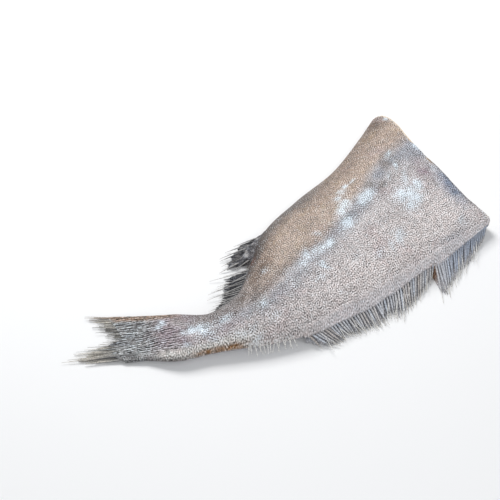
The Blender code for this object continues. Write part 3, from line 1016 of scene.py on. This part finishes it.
# The relief of the cut face is in mm: muscle blocks with a seam between the upper and the lower ones, the
# backbone's dished end, and the hollow's mouth with its lip drawn in.
on_face = 1 - fade(behind_cut(points), 0.2 * MM, 1.5 * MM)
ceiling, floor_level = (side(0.0, face_across)[:, 2] for side in (upper_side, under_side))
face_height = ceiling - floor_level
level = (points[:, 2] - floor_level) / np.maximum(face_height, 1 * MM)
flat = np.column_stack([points[:, 1], points[:, 2], np.zeros(len(points))])
from_spine_y = points[:, 1] - spine_y
from_spine_z = points[:, 2] - SPINE_HEIGHT
from_spine = np.hypot(from_spine_y, from_spine_z)
to_rim = np.minimum(np.minimum(level, 1 - level) * face_height, (1 - np.abs(face_across)) * CUT_HALF_DEPTH)
wander = layers(flat, 31, (12 * MM, 2.0 * MM), (4 * MM, 0.8 * MM))
septum = hump(from_spine_z + wander, 0, 0.8 * MM) * fade(ripple(flat, 15 * MM, 30), -0.3, 0.3)
septum = septum * fade(to_rim, 1 * MM, 4 * MM)
lower_step = fade(-(from_spine_z + 2.5 * wander), -0.8 * MM, 0.8 * MM)
pillow = layers(flat, 34, (13 * MM, 2.0), (5 * MM, 1.1), (2.2 * MM, 0.45))
spine = 1 - fade(from_spine, SPINE_RADIUS * 0.95, SPINE_RADIUS * 1.1)
spine_dish = 1 - fade(from_spine, 0.4 * MM, SPINE_RADIUS * 0.8)
from_mouth = np.hypot((points[:, 1] - gut_y) / GUT_SIZE[1], (points[:, 2] - GUT_HEIGHT) / GUT_SIZE[2])
lip = 1 - fade(from_mouth, 1.0, 1.22)
relief = (pillow + 0.6 + 1.2 * lower_step) * fade(to_rim, 0, 4 * MM) - 0.8 * septum - 2.0 * lip
relief = relief * (1 - spine) + spine * (0.9 - 2.4 * spine_dish)
points[:, 0] += relief * MM * on_face
set_points(flesh, points)

stain = fade(ripple(flat, 7 * MM, 38) + 0.5 * ripple(flat, 2.5 * MM, 28), 0.25, 0.7)
stain_share = 0.25 + 0.5 * (1 - fade(to_rim, 2 * MM, 7 * MM)) + 0.3 * lip
fibres = fade(ripple(flat / (3, 1, 1), 0.9 * MM, 27), 0.2, 0.7)
clot = np.hypot(
    (from_spine_y - CLOT_OFFSET[0]) / CLOT_SIZE[0], (from_spine_z - CLOT_OFFSET[1]) / CLOT_SIZE[1],
)
clot += 0.5 * ripple(flat, 4 * MM, 39)
specks = fade(ripple(flat, 3 * MM, 25) + 0.4 * ripple(flat, 9 * MM, 24), 0.62, 0.8)
tint = paint(
    plain(CREAM, points),
    (FLESH_WHITE, fade(0.6 * ripple(flat, 15 * MM, 29) + 0.5 * lower_step, 0.1, 0.6) * 0.85),
    (FLESH_PINK, fade(from_spine_z, 0, 9 * MM) * fade(ripple(flat, 14 * MM, 37), -0.3, 0.4) * 0.7),
    (STAIN_YELLOW, stain * stain_share),
    (SEPTUM, np.maximum(septum * 0.7, fibres * 0.25)),
    (DRIED_EDGE, (1 - fade(to_rim, 0.5 * MM, 2.5 * MM)) * (0.45 + 0.4 * ripple(flat, 8 * MM, 26))),
    (BONE, spine * 0.9),
    (BLOOD, (1 - fade(clot, 0.5, 1.1)) * 0.85 * (1 - spine)),
    (BLOOD_DARK, (hump(clot, 0.85, 0.12) * 0.6 + spine_dish * 0.5) * (1 - 0.5 * spine)),
    (BLOOD_DARK, specks * 0.45 * fade(to_rim, 1 * MM, 3 * MM)),
)
add_tint(flesh, tint)


def hollow_form(name, grow):
    """The oval form of the gutted hollow, its mouth at the head cut and its long axis inwards."""
    belly, back = (np.array(BODY_SECTIONS[0][i : i + 2]) for i in (0, 2))
    mouth = ((belly + back) / 2 + (belly - back) / 2 * GUT_ACROSS) * MM - FOOTPRINT_CENTRE
    deep_end = body_place(GUT_SIZE[0] / BODY_RUN, GUT_ACROSS / (1 + EDGE_BULGE / CUT_HALF_DEPTH))[0][0]
    angle = math.atan2(mouth[1] - deep_end[1], mouth[0] - deep_end[0])
    bpy.ops.mesh.primitive_uv_sphere_add(segments=GUT_SEGMENTS, ring_count=GUT_RINGS, radius=1)
    form = bpy.context.object
    form.name = name
    form.data.name = name
    shaped = get_points(form)[:, [2, 0, 1]] * GUT_SIZE
    shaped = shaped * grow * (1 + GUT_ROUGHNESS * layers(shaped, 41, *GUT_LUMPS))[:, None]
    x = shaped[:, 0] * math.cos(angle) - shaped[:, 1] * math.sin(angle) + mouth[0]
    y = shaped[:, 0] * math.sin(angle) + shaped[:, 1] * math.cos(angle) + mouth[1]
    set_points(form, np.column_stack([x, y, shaped[:, 2] + GUT_HEIGHT]))
    return form, shaped


hollow, inner = hollow_form("hollow", grow=1.0)
wall = paint(
    plain(CREAM, inner),
    (STAIN_YELLOW, fade(ripple(inner, 9 * MM, 23), 0.0, 0.5) * 0.6),
    (FLESH_PINK, fade(ripple(inner, 6 * MM, 22), 0.0, 0.5) * 0.6),
    (BLOOD_DARK, fade(-inner[:, 0], 8 * MM, 18 * MM) * 0.8),
)
add_tint(hollow, wall)
close_and_face_out(hollow)
cut = flesh.modifiers.new("hollow", "BOOLEAN")
cut.operation = "DIFFERENCE"
cut.object = hollow
cut.solver = "EXACT"
pick(flesh)
bpy.ops.object.modifier_apply(modifier=cut.name)
bpy.data.objects.remove(hollow)
bpy.ops.object.shade_smooth_by_angle(angle=FLESH_CREASE)


def flesh_material(name):
    """Raw white flesh: fine fibre grain, slight sheen and a little light passing through."""
    made, tree, shader = new_material(name)
    tint = node(tree, "Attribute", attribute_name="tint").outputs["Color"]
    place = node(tree, "TexCoord").outputs["Object"]
    fine, broad = (grain(tree, place, scale, detail=3.0, roughness=0.6) for scale in (900.0, 190.0))
    fine_light = remap(tree, fine, 0.3, 0.7, 0.90, 1.06)
    broad_light = remap(tree, broad, 0.3, 0.7, 0.92, 1.06)
    body = shaded(tree, tint, math_node(tree, "MULTIPLY", fine_light, broad_light))
    height = math_node(tree, "MULTIPLY_ADD", broad, 1.5, fine)
    wire(tree, shader, body, remap(tree, broad, 0.0, 1.0, 0.25, 0.55), height, strength=0.35, depth=0.7 * MM)
    shader.inputs["Subsurface Weight"].default_value = 0.15
    shader.inputs["Subsurface Radius"].default_value = (4 * MM, 2 * MM, 1.2 * MM)
    return made


finish(flesh, flesh_material("raw_flesh"))

# ------------------------------------------------------------------ the lining of the gutted hollow
# The belly hollow keeps its own thin lining, nearly black and glossy, wrinkled, and ragged at the mouth
# where the gut was pulled out.

LINING_BLACK = linear(46, 40, 42)
LINING_BLUE = linear(72, 78, 96)
LINING_RED = linear(104, 54, 44)
LINING_THICKNESS = 0.5 * MM
LINING_GROWTH = 0.965  # its size beside the hollow's
LINING_EDGE = 3 * MM  # how far inside the mouth it ends
LINING_RAGS = 2.5 * MM

gut_lining, shaped = hollow_form("gut_lining", grow=LINING_GROWTH)
lining_points = get_points(gut_lining)
wrinkles = 0.5 * ripple(shaped * (0.35, 1, 1), 4 * MM, 43) + 0.25 * ripple(shaped, 2 * MM, 44)
lining_points[:, 2] += wrinkles * MM * np.where(shaped[:, 2] > 0, -1, 1)
set_points(gut_lining, lining_points)
tint = paint(
    plain(LINING_BLACK, shaped),
    (LINING_BLUE, fade(ripple(shaped, 12 * MM, 45), 0.0, 0.6) * 0.8),
    (LINING_RED, fade(ripple(shaped, 9 * MM, 46), 0.1, 0.6) * 0.7),
)
add_tint(gut_lining, tint)
beyond_mouth = behind_cut(lining_points) < LINING_EDGE + LINING_RAGS * ripple(shaped, 6 * MM, 47)
pick(gut_lining)
bpy.ops.object.mode_set(mode="EDIT")
bpy.ops.mesh.select_all(action="DESELECT")
bpy.ops.object.mode_set(mode="OBJECT")
gut_lining.data.vertices.foreach_set("select", beyond_mouth)
bpy.ops.object.mode_set(mode="EDIT")
bpy.ops.mesh.select_mode(type="VERT")
bpy.ops.mesh.delete(type="VERT")
bpy.ops.object.mode_set(mode="OBJECT")
thicken(gut_lining, LINING_THICKNESS, offset=-1)
bpy.ops.object.shade_smooth()


def membrane_material(name, scale, detail, roughness, contrast, wet, relief):
    """A moist skin: regional tint broken by fine specks, and by their relief.

    scale, detail and roughness are the specks' own. contrast is their range and how light its two ends
    are made, wet is how rough the surface is there, and relief is the bump's strength and depth.
    """
    made, tree, shader = new_material(name)
    tint = node(tree, "Attribute", attribute_name="tint").outputs["Color"]
    specks = grain(tree, node(tree, "TexCoord").outputs["Object"], scale, detail, roughness)
    body = shaded(tree, tint, remap(tree, specks, *contrast))
    wire(tree, shader, body, remap(tree, specks, 0.0, 1.0, *wet), specks, *relief)
    return made, shader


gut_membrane, shader = membrane_material(
    "gut_membrane", scale=420.0, detail=4.0, roughness=0.65, contrast=(0.35, 0.75, 0.6, 1.7),
    wet=(0.12, 0.38), relief=(0.5, 0.8 * MM),
)
shader.inputs["Coat Weight"].default_value = 0.5
finish(gut_lining, gut_membrane)

# ------------------------------------------------------------------ the long fin along the back edge
# Soft rays, one beside the other, come out of the scaly skin of the back edge and droop to the table. Thin
# dark skin joins them. Handling has torn it, left the tips free, and left only bristles by the tail.

DORSAL_FORM = (
    # share, length in mm, lean to the tail in degrees, reach of the thin skin, where the rays show (0: edge)
    (0.002, 9, 50, 0.9, -0.1),
    (0.012, 12, 50, 0.9, -0.1),
    (0.056, 24, 46, 0.92, 0.0),
    (0.108, 26, 40, 0.92, 0.05),
    (0.162, 33, 30, 0.88, 0.15),
    (0.183, 37, 26, 0.85, 0.12),
    (0.203, 32, 24, 0.9, 0.1),
    (0.209, 5, 32, 0.5, 0.0),
    (0.213, 15, 42, 0.67, 0.1),
    (0.252, 25, 38, 0.67, 0.05),
    (0.324, 30, 28, 0.62, 0.15),
    (0.337, 29, 26, 0.62, 0.18),
    (0.344, 22, 25, 0.67, 0.18),
    (0.412, 23, 8, 0.57, 0.25),
    (0.477, 18, -8, 0.6, 0.15),
    (0.514, 16, -20, 0.55, 0.10),
    (0.560, 22, -36, 0.5, 0.15),
    (0.590, 22, -44, 0.45, 0.20),
    (0.602, 4, -30, 0.5, 0.30),
)
DORSAL_SPAN = (0.002, 0.602)
DORSAL_RAYS = 71
BRISTLE_SPAN = (0.625, 0.727)
BRISTLES = 16
BRISTLE_LEANS = (-18, 24)
BRISTLE_LENGTHS = (3.5, 8)  # least and most, in mm
BRISTLE_TIPS = (1.0, 5.0)
HAIRS = 16  # single rays that have come loose from the thin skin
HAIR_LENGTH = 1.12  # beside the rays around it
HAIR_TIP = 2.2 * MM
HAIR_LIFT = 1.1 * MM
FIN_DROOP = 0.8  # below 1 the fins fall fast at first and then lie flat
FIN_FLOOR_GAP = 0.6 * MM
FLOOR_GAP = 0.35 * MM  # the least height of a fin's skin
FIN_INSIDE = 9 * MM  # how far from the edge a fin's skin starts
NEARBY = 0.02  # share either way that gives the edge its direction
RAY_STATIONS = 13
RAY_ALONG = np.linspace(0, 1, RAY_STATIONS)
RAY_SIDES = 8
RAY_RADIUS = 1.03 * MM
RAY_FLATNESS = 0.65
RAY_EMBED = 0.12  # how far back under the skin a ray starts, as a share of its length
RAY_RISE = ((0, 0.15, 1), (-0.6, 0.35, 0.0))  # places along a ray, and how far it is raised there in mm
LONGEST_SCATTER = 0.15  # no ray is longer by more than this share
WEB_THICKNESS = 0.45 * MM
WEB_STEPS = 5  # sheet columns from one ray to the next
WEB_ROWS = 26
WEB_ON_SKIN = 0.3  # part of the rows that lies on the skin
WEB_TEARS = ((0.11, 0.10), (0.43, 0.12))
WEB_RISE = ((-1, -0.75, 1), (-0.5, 0.3, 0.0))  # places down the skin, and how far it is raised there in mm

FIN_BLUE = linear(194, 206, 222)
FRONT_BLUE = linear(138, 152, 174)
FIN_GREY = linear(206, 205, 206)
FIN_TAN = linear(184, 166, 148)
FIN_PALE = linear(222, 216, 204)
HAIR_WHITE = linear(244, 242, 236)
WEB_DARK = linear(80, 84, 93)
WEB_GREY = linear(172, 173, 178)
RUST = linear(150, 112, 80)
RUST_SPOT = (134, -127, 8, 4, 68)


def fin_points(side, share, length, lean, tip_height, r):
    """Points down a fin. r is -1 on the skin, FIN_INSIDE from the edge, 0 at the edge and 1 at the tip."""
    share, length, lean, tip_height, r = np.broadcast_arrays(share, length, lean, tip_height, r)
    ahead = body_place(np.maximum(share - NEARBY, 0), side)[0]
    behind = body_place(np.minimum(share + NEARBY, 1), side)[0]
    tailward = (behind - ahead) / np.linalg.norm(behind - ahead, axis=1)[:, None]
    outward = np.column_stack([tailward[:, 1], -tailward[:, 0]]) * side
    angle = np.radians(lean)
    way = outward * np.cos(angle)[:, None] + tailward * np.sin(angle)[:, None]
    root, half_depth, _, edge = body_place(share, side)
    inside = np.maximum(-r, 0) * FIN_INSIDE
    skin_share = np.maximum(share - inside * np.sin(angle) / BODY_RUN, 0.0)
    on_skin = upper_side(skin_share, side * (1 - inside * np.cos(angle) / half_depth))
    on_skin[:, 2] += skin_lumps(on_skin, skin_share, inside * np.cos(angle), 1) * MM
    on_skin[:, 2] = np.maximum(on_skin[:, 2], edge + EDGE_HALF_THICKNESS)
    fall = np.maximum(r, 0) ** FIN_DROOP
    height = (edge + EDGE_HALF_THICKNESS) * (1 - fall) + tip_height * fall
    beyond = np.column_stack([root + way * (length * r)[:, None], height])
    return np.where((r < 0)[:, None], on_skin, beyond)


bpy.ops.mesh.primitive_cylinder_add(vertices=RAY_SIDES, radius=1, depth=1, location=(0, 0, 0.5))
ray_stick = bpy.context.object
bpy.ops.object.transform_apply(location=True, rotation=True, scale=True)
bpy.ops.object.mode_set(mode="EDIT")
bpy.ops.mesh.select_mode(type="EDGE")
bpy.ops.mesh.select_all(action="DESELECT")
bpy.ops.object.mode_set(mode="OBJECT")
for edge_line in ray_stick.data.edges:
    low, high = (ray_stick.data.vertices[i].co.z for i in edge_line.vertices)
    edge_line.select = abs(high - low) > 0.5
bpy.ops.object.mode_set(mode="EDIT")
bpy.ops.mesh.subdivide(number_cuts=RAY_STATIONS - 2)
bpy.ops.mesh.select_mode(type="VERT")
bpy.ops.object.mode_set(mode="OBJECT")
stick_points = get_points(ray_stick)
stick_station = np.round(stick_points[:, 2] * (RAY_STATIONS - 1)).astype(int)


def sticks(name, lines, radii, tints):
    """Copies of the ray stick bent along each line and joined into one piece."""
    made = []
    at = stick_station
    for line, radius, colours in zip(lines, radii, tints):
        stick = ray_stick.copy()
        stick.data = ray_stick.data.copy()
        scene.collection.objects.link(stick)
        run = np.gradient(line, axis=0)
        run /= np.linalg.norm(run, axis=1)[:, None]
        aside = np.column_stack([-run[:, 1], run[:, 0], np.zeros(len(run))])
        aside /= np.maximum(np.linalg.norm(aside, axis=1), 1e-9)[:, None]
        above = np.cross(run, aside) * RAY_FLATNESS
        ring = aside[at] * stick_points[:, 0:1] + above[at] * stick_points[:, 1:2]
        set_points(stick, line[at] + ring * radius[at][:, None])
        add_tint(stick, colours[at])
        made.append(stick)
    piece = join(made)
    piece.name = name
    piece.data.name = name
    close_and_face_out(piece, merge=0.001 * MM)
    return piece


def ray_line(side, share, length, lean, tip_height, r, lift):
    """One ray's line. r is how far down the fin its stations are, lift how far each is raised."""
    line = fin_points(side, np.full(RAY_STATIONS, share), length, lean, tip_height, r)
    line[:, 2] += lift
    return line


def fin_rays(side, share, form, rng, scatter, lean_scatter, curl):
    """The lines of a fin's rays, from where they come out of the skin to their tips."""
    length, lean, _, start = straight_rows(form, share).T
    length = length * MM * rng.uniform(1 - scatter, 1 + scatter, len(share))
    length = length * (1 + np.minimum(rng.exponential(0.07, len(share)), LONGEST_SCATTER))
    lean = lean + rng.normal(0, lean_scatter, len(share))
    tip = FIN_FLOOR_GAP + rng.uniform(0, 1.8, len(share)) * MM
    bend = rng.normal(*curl, len(share))
    lift = np.interp(RAY_ALONG, *RAY_RISE) * MM
    lines = []
    for i in range(len(share)):
        r = start[i] - RAY_EMBED + (1 + RAY_EMBED - start[i]) * RAY_ALONG
        line = ray_line(side, share[i], length[i], lean[i], tip[i], r, lift)
        line[:, 0] += np.maximum(r, 0) ** 2 * bend[i] * length[i]
        lines.append(line)
    return lines


def between_rays(column):
    """0 on a ray, rising towards 1 halfway to the next, for the columns of a fin's skin."""
    return np.sin(math.pi * (column % WEB_STEPS) / WEB_STEPS)


def tears(column, height, seed, *sizes):
    """How much longer or shorter torn fin skin is at its columns. Each size is (how often, how deep)."""
    at = np.column_stack([column, column * 0, column * 0 + height])
    return sum(deep * ripple(at * (often, 0, 1), 1.0, seed + i) for i, (often, deep) in enumerate(sizes))


def web(name, side, rays, span, form, seed, sag, wrinkle):
    """The skin that joins the rays, as a sheet.

    It comes with where each point is: down the fin (r), out of the skin (opened), between two rays and
    along the body (share), and with the skin's colours there.
    """
    columns = (rays - 1) * WEB_STEPS
    sheet, u, v = sheet_grid(name, columns, WEB_ROWS)
    column = np.round(u * columns)
    share = span[0] + (span[1] - span[0]) * u
    between = between_rays(column)
    length, lean, reach, start = straight_rows(form, share).T
    torn = 0.90 + tears(column, seed, seed, *WEB_TEARS)
    length = length * MM * (1 - (1 - reach) * between) * torn
    r = np.where(v < WEB_ON_SKIN, v / WEB_ON_SKIN - 1, (v - WEB_ON_SKIN) / (1 - WEB_ON_SKIN))
    points = fin_points(side, share, length, lean, FIN_FLOOR_GAP, r)
    opened = fade(r, start - 0.08, start + 0.10)
    points[:, 2] += np.interp(r, *WEB_RISE) * MM
    points[:, 2] += wrinkle * ripple(points, 5 * MM, seed + 2) * fade(r, 0.02, 0.4) - sag * between * opened
    points[:, 2] = np.maximum(points[:, 2], FLOOR_GAP)
    set_points(sheet, points)
    inside = np.maximum(-r, 0) * FIN_INSIDE
    across = side * (1 - inside / body_place(share, side)[1])
    tint, _ = skin_colours(points, share, across, inside)
    return sheet, points, r, opened, between, share, tint


def finish_web(piece, tint, streaky):
    """Closes a fin's skin and gives it its thickness and the look of scaly skin."""
    add_tint(piece, tint)
    add_mask(piece, "frost", np.zeros(len(tint)))
    add_mask(piece, "streaky", streaky)
    close_and_face_out(piece)
    top_up(piece)
    thicken(piece, WEB_THICKNESS, offset=0)


fin_ray_look, shader = membrane_material(
    "fin_rays", scale=800.0, detail=2.0, roughness=0.6, contrast=(0.3, 0.7, 0.55, 1.45),
    wet=(0.35, 0.65), relief=(0.4, 0.4 * MM),
)
shader.inputs["Specular IOR Level"].default_value = 0.4

dorsal_rng = np.random.default_rng(5)
dorsal_share = np.linspace(*DORSAL_SPAN, DORSAL_RAYS)[1:-1]
rays = fin_rays(
    -1, dorsal_share, DORSAL_FORM, dorsal_rng, scatter=0.09, lean_scatter=1.8, curl=(0.0, 0.07),
)
ray_tints = []
for share in dorsal_share:
    coats = (
        (FIN_BLUE, 0.7 * dorsal_rng.random()),
        (FIN_TAN, max(0, dorsal_rng.normal(0.1, 0.3))),
        (WEB_GREY, max(0, dorsal_rng.normal(0.0, 0.25))),
        (FRONT_BLUE, (1 - fade(share, 0.12, 0.20)) * 0.6),
        (FIN_PALE, fade(RAY_ALONG, 0.55, 0.9) * 0.85),
    )
    ray_tints.append(paint(plain(FIN_GREY, RAY_ALONG), *coats))

bristle_share = np.linspace(*BRISTLE_SPAN, BRISTLES) + dorsal_rng.uniform(-0.002, 0.002, BRISTLES)
bristle_lean = np.resize(BRISTLE_LEANS, BRISTLES) + dorsal_rng.normal(0, 14, BRISTLES)
bristle_length = dorsal_rng.uniform(*BRISTLE_LENGTHS, BRISTLES) * MM
bristle_tip = dorsal_rng.uniform(*BRISTLE_TIPS, BRISTLES) * MM
bristle_lift = np.interp(RAY_ALONG, (0, 0.2, 1), (-0.4, 0.2, 0.0)) * MM
bristles = [
    ray_line(-1, share, size, lean, tip, RAY_ALONG * 1.25 - 0.25, bristle_lift)
    for share, size, lean, tip in zip(bristle_share, bristle_length, bristle_lean, bristle_tip)
]
hairs = []
for share in dorsal_rng.choice(dorsal_share[4:], HAIRS, replace=False):
    length, lean = straight_rows(DORSAL_FORM, share)[0, 0:2]
    lean += dorsal_rng.normal(0, 9)
    length *= MM * HAIR_LENGTH
    hairs.append(ray_line(-1, share, length, lean, HAIR_TIP, 0.3 + 0.7 * RAY_ALONG, HAIR_LIFT))

# Half thicknesses in mm, from root to tip.
ray_thick = np.interp(RAY_ALONG, (0, 0.15, 0.5, 0.72, 1), (0.4, 1.0, 0.88, 0.36, 0.13)) * RAY_RADIUS
bristle_thick = np.interp(RAY_ALONG, (0, 0.3, 1), (0.62, 0.52, 0.22)) * MM
hair_thick = np.interp(RAY_ALONG, (0, 0.5, 1), (0.35, 0.32, 0.12)) * MM
pale_tint = paint(plain(FIN_GREY, RAY_ALONG), (HAIR_WHITE, fade(RAY_ALONG, 0.0, 0.4)))
dorsal_rays = sticks(
    "dorsal_rays",
    rays + bristles + hairs,
    [ray_thick] * len(rays) + [bristle_thick] * BRISTLES + [hair_thick] * HAIRS,
    ray_tints + [pale_tint] * (BRISTLES + HAIRS),
)
finish(dorsal_rays, fin_ray_look)

dorsal_web, points, r, opened, between, _, tint = web(
    "dorsal_web", -1, DORSAL_RAYS, DORSAL_SPAN, DORSAL_FORM, seed=51, sag=0.5 * MM, wrinkle=0.5 * MM,
)
gaps = paint(
    plain(WEB_GREY, points),
    (WEB_DARK, between**2 * 1.2 * (1 - fade(r, 0.2, 0.65))),
    (FIN_GREY, fade(r, 0.5, 0.9) * 0.5),
)
tint = paint(tint, (gaps, opened), (RUST, spot(points, *RUST_SPOT) * fade(r, -0.2, 0.1)))
finish_web(dorsal_web, tint, opened * 0.3)
finish(dorsal_web, skin_material("fin_skin", contrast=1.45))

# ------------------------------------------------------------------ the fin along the belly edge
# The same rays and skin on the other edge, behind the belly. In front this fin is a crumpled dark flap,
# then it is torn through, and further back its black rays stand free and are swept hard to the tail.

ANAL_FORM = (
    # columns as in DORSAL_FORM
    (0.560, 6, 38, 0.9, 0.1),
    (0.568, 16, 38, 0.9, 0.2),
    (0.586, 24, 29, 0.95, 0.4),
    (0.607, 30, 32, 0.95, 0.5),
    (0.632, 33, 38, 0.95, 0.6),
    (0.645, 5, 30, 0.9, 0.1),
    (0.672, 5, 24, 0.9, 0.1),
    (0.680, 27, 22, 0.43, 0.0),
    (0.711, 24, 24, 0.38, 0.0),
    (0.741, 19, 25, 0.38, 0.0),
    (0.768, 17, 45, 0.33, 0.0),
    (0.795, 11, 54, 0.4, 0.0),
    (0.818, 4, 60, 0.8, 0.0),
)
ANAL_SPAN = (0.560, 0.818)
ANAL_RAYS = 34
ANAL_TORN = (0.645, 0.665)  # where the crumpled flap ends
ANAL_FREE = (0.66, 0.68)  # from where its rays stand free
ANAL_BLACK = linear(48, 47, 50)
ANAL_GREY = linear(112, 112, 117)
ANAL_LIGHT = linear(176, 174, 172)
ANAL_PALE = linear(206, 202, 196)
DARK_RUST = linear(118, 74, 54)
DARK_RUST_SPOT = (-14, -20, 5, 4, 0)

anal_rng = np.random.default_rng(8)
anal_share = np.linspace(*ANAL_SPAN, ANAL_RAYS)[1:-1]
rays = fin_rays(1, anal_share, ANAL_FORM, anal_rng, scatter=0.14, lean_scatter=4.5, curl=(-0.16, 0.14))
ray_tints, ray_thicks = [], []
for free in fade(anal_share, *ANAL_FREE):
    light = anal_rng.random() * (1 - free) + anal_rng.uniform(0.55, 1.0) * free
    coats = ((ANAL_LIGHT, light), (ANAL_PALE, fade(RAY_ALONG, 0.5, 1.0) * 0.8))
    ray_tints.append(paint(plain(ANAL_BLACK, RAY_ALONG), *coats))
    thick = np.interp(RAY_ALONG, (0, 0.2, 0.7, 1), (0.5, 0.95, 0.55, 0.18)) * MM
    ray_thicks.append(thick * (0.85 - 0.20 * free))
anal_rays = sticks("anal_rays", rays, ray_thicks, ray_tints)
finish(anal_rays, fin_ray_look)

anal_web, points, r, _, _, web_share, tint = web(
    "anal_web", 1, ANAL_RAYS, ANAL_SPAN, ANAL_FORM, seed=61, sag=0.4 * MM, wrinkle=1.8 * MM,
)
# Painted light and shade of the flap's folds: dark in the hollows, painted highlights on the ridges.
painted_fold_shading = ripple(points * (1, 1, 0.3), 3.2 * MM, 64) + 0.5 * ripple(points, 1.6 * MM, 65)
gaps = paint(
    plain(ANAL_GREY, points),
    (ANAL_BLACK, fade(-painted_fold_shading, -0.1, 0.4)),
    (ANAL_LIGHT, fade(painted_fold_shading, 0.15, 0.45) * 0.85),
    # Where the rays stand free the thin skin is an even grey: partly its own colour, partly painted shade
    # seen through it.
    (ANAL_GREY, fade(web_share, *ANAL_FREE) * 0.7),
)
tint = paint(
    tint,
    (gaps, fade(r, -0.25, 0.1)),
    # painted shade along the root of the crumpled flap
    (CREASE_SHADE_BROWN, hump(r, -0.3, 0.42) * (1 - fade(web_share, *ANAL_TORN))),
    (DARK_RUST, spot(points, *DARK_RUST_SPOT) * 0.9),
)
finish_web(anal_web, tint, fade(r, 0.0, 0.5) * 0.5)
finish(anal_web, skin_material("fin_skin_dark", contrast=0.9))

# ------------------------------------------------------------------ the tail fin
# A fan of branched rays that carries on from the narrow tail. It is worn into two ragged lobes, dark
# between the rays with pale scales on them, brown along one edge, and its tips are bleached and frayed.

TAIL_RAYS = 22
TAIL_BRANCHES = 4  # of each ray
TAIL_BRANCH_GAP = 1.0 * MM
TAIL_BRANCH_SPREAD = 0.010  # as a share of the fin's width
TAIL_ROOT_HEIGHT = 3.2 * MM
TAIL_ROOT_SHARES = (0.01, 0.96)
TAIL_EMBED = 12 * MM  # how far back under the scales the fin starts at r = -1
TAIL_RADIUS = 0.60 * MM
TAIL_SKIN = 0.86  # reach of the thin skin halfway between two rays
TAIL_TEARS = ((0.13, 0.14), (0.41, 0.16))


def tail_lines(place, length, tip_height, offset, stations):
    """Lines down the tail fin from the root. place is 0 at its belly edge, 1 at its back edge."""
    row = BODY_ROWS[-1]
    belly, back = row[1:3] - FOOTPRINT_CENTRE, row[3:5] - FOOTPRINT_CENTRE
    first, last = TAIL_ROOT_SHARES
    root = belly + (back - belly) * (first + (last - first) * place)[:, None]
    way = heading(straight_rows(TAIL_FORM, place)[:, 0])
    aside = np.column_stack([-way[:, 1], way[:, 0]])
    lines = []
    for r in stations:
        plan = root + way * (length * r)[:, None] + aside * (offset * max(r, 0.0))[:, None]
        if r < 0:
            plan = root + way * (TAIL_EMBED * r)
        fall = max(r, 0.0) ** FIN_DROOP
        height = np.broadcast_to(TAIL_ROOT_HEIGHT * (1 - fall) + tip_height * fall, len(plan))
        lines.append(np.column_stack([plan, height]))
    return np.stack(lines, axis=1)


def tail_tint(points, place, r):
    """The tail's streaks with its brown edge and its bleached tips."""
    upper_lobe = stretch(place, 0.05, 0.09, 0.19, 0.24)
    bleached = np.maximum(0.35 + 0.45 * fade(place, 0.5, 0.7), 0.85 * upper_lobe)
    return paint(
        tail_colours(points),
        (EDGE_BROWN, (1 - fade(place, 0.06, 0.14)) * 0.85),
        (FIN_PALE, fade(r, 0.35 - 0.1 * upper_lobe, 0.8) * bleached),
    )


tail_rng = np.random.default_rng(14)
tail_place = np.repeat(np.linspace(0, 1, TAIL_RAYS), TAIL_BRANCHES)
branch = np.tile(np.arange(TAIL_BRANCHES) - (TAIL_BRANCHES - 1) / 2, TAIL_RAYS)
count = len(tail_place)
length = straight_rows(TAIL_FORM, tail_place)[:, 1] * MM * tail_rng.uniform(0.72, 1.08, count)
offset = branch * TAIL_BRANCH_GAP + tail_rng.normal(0, 0.6, count) * MM
place_spread = np.clip(tail_place + branch * TAIL_BRANCH_SPREAD, 0, 1)
stations = np.linspace(-0.4, 1, RAY_STATIONS)
tip_height = FIN_FLOOR_GAP + tail_rng.uniform(0, 1.6, count) * MM
lines = tail_lines(place_spread, length, tip_height, offset, stations)
lines[:, :, 2] += 0.5 * MM * np.abs(np.sin(stations * 3 + branch[:, None]))
thick = np.interp(stations, (-0.4, 0, 0.5, 1), (1.2, 1.15, 0.75, 0.25)) * TAIL_RADIUS
ray_tints = []
for line, place in zip(lines, tail_place):
    coats = (
        (TAIL_DARK, max(0, tail_rng.normal(0.0, 0.45))),
        (TAIL_PALE, max(0, tail_rng.normal(-0.1, 0.4))),
    )
    ray_tints.append(paint(tail_tint(line, np.full(RAY_STATIONS, place), stations), *coats))
tail_rays = sticks("tail_rays", lines, [thick] * count, ray_tints)
finish(tail_rays, fin_ray_look)

columns = (TAIL_RAYS - 1) * WEB_STEPS
tail_web, u, v = sheet_grid("tail_web", columns, WEB_ROWS)
all_columns = np.arange(columns + 1)
all_places = all_columns / columns
between = between_rays(all_columns)
length = straight_rows(TAIL_FORM, all_places)[:, 1] * MM
length *= (1 - (1 - TAIL_SKIN) * between) * (0.84 + tears(all_columns, 0, 71, *TAIL_TEARS))
stations = np.linspace(-0.3, 1, WEB_ROWS + 1)
lines = tail_lines(all_places, length, FIN_FLOOR_GAP, np.zeros(columns + 1), stations)
column = np.round(u * columns).astype(int)
row = np.round(v * WEB_ROWS).astype(int)
points = lines[column, row]
r = stations[row]
points[:, 2] += 0.5 * MM * ripple(points, 5 * MM, 73) * fade(r, 0.1, 0.5) - 0.2 * MM
points[:, 2] = np.maximum(points[:, 2], FLOOR_GAP)
set_points(tail_web, points)
tint = paint(tail_tint(points, u, r), (TAIL_DARK, between[column] * 0.5 * (1 - fade(r, 0.6, 1.0))))
finish_web(tail_web, tint, np.ones(len(u)))
finish(tail_web, skin_material("tail_skin", contrast=0.9))
bpy.data.objects.remove(ray_stick)
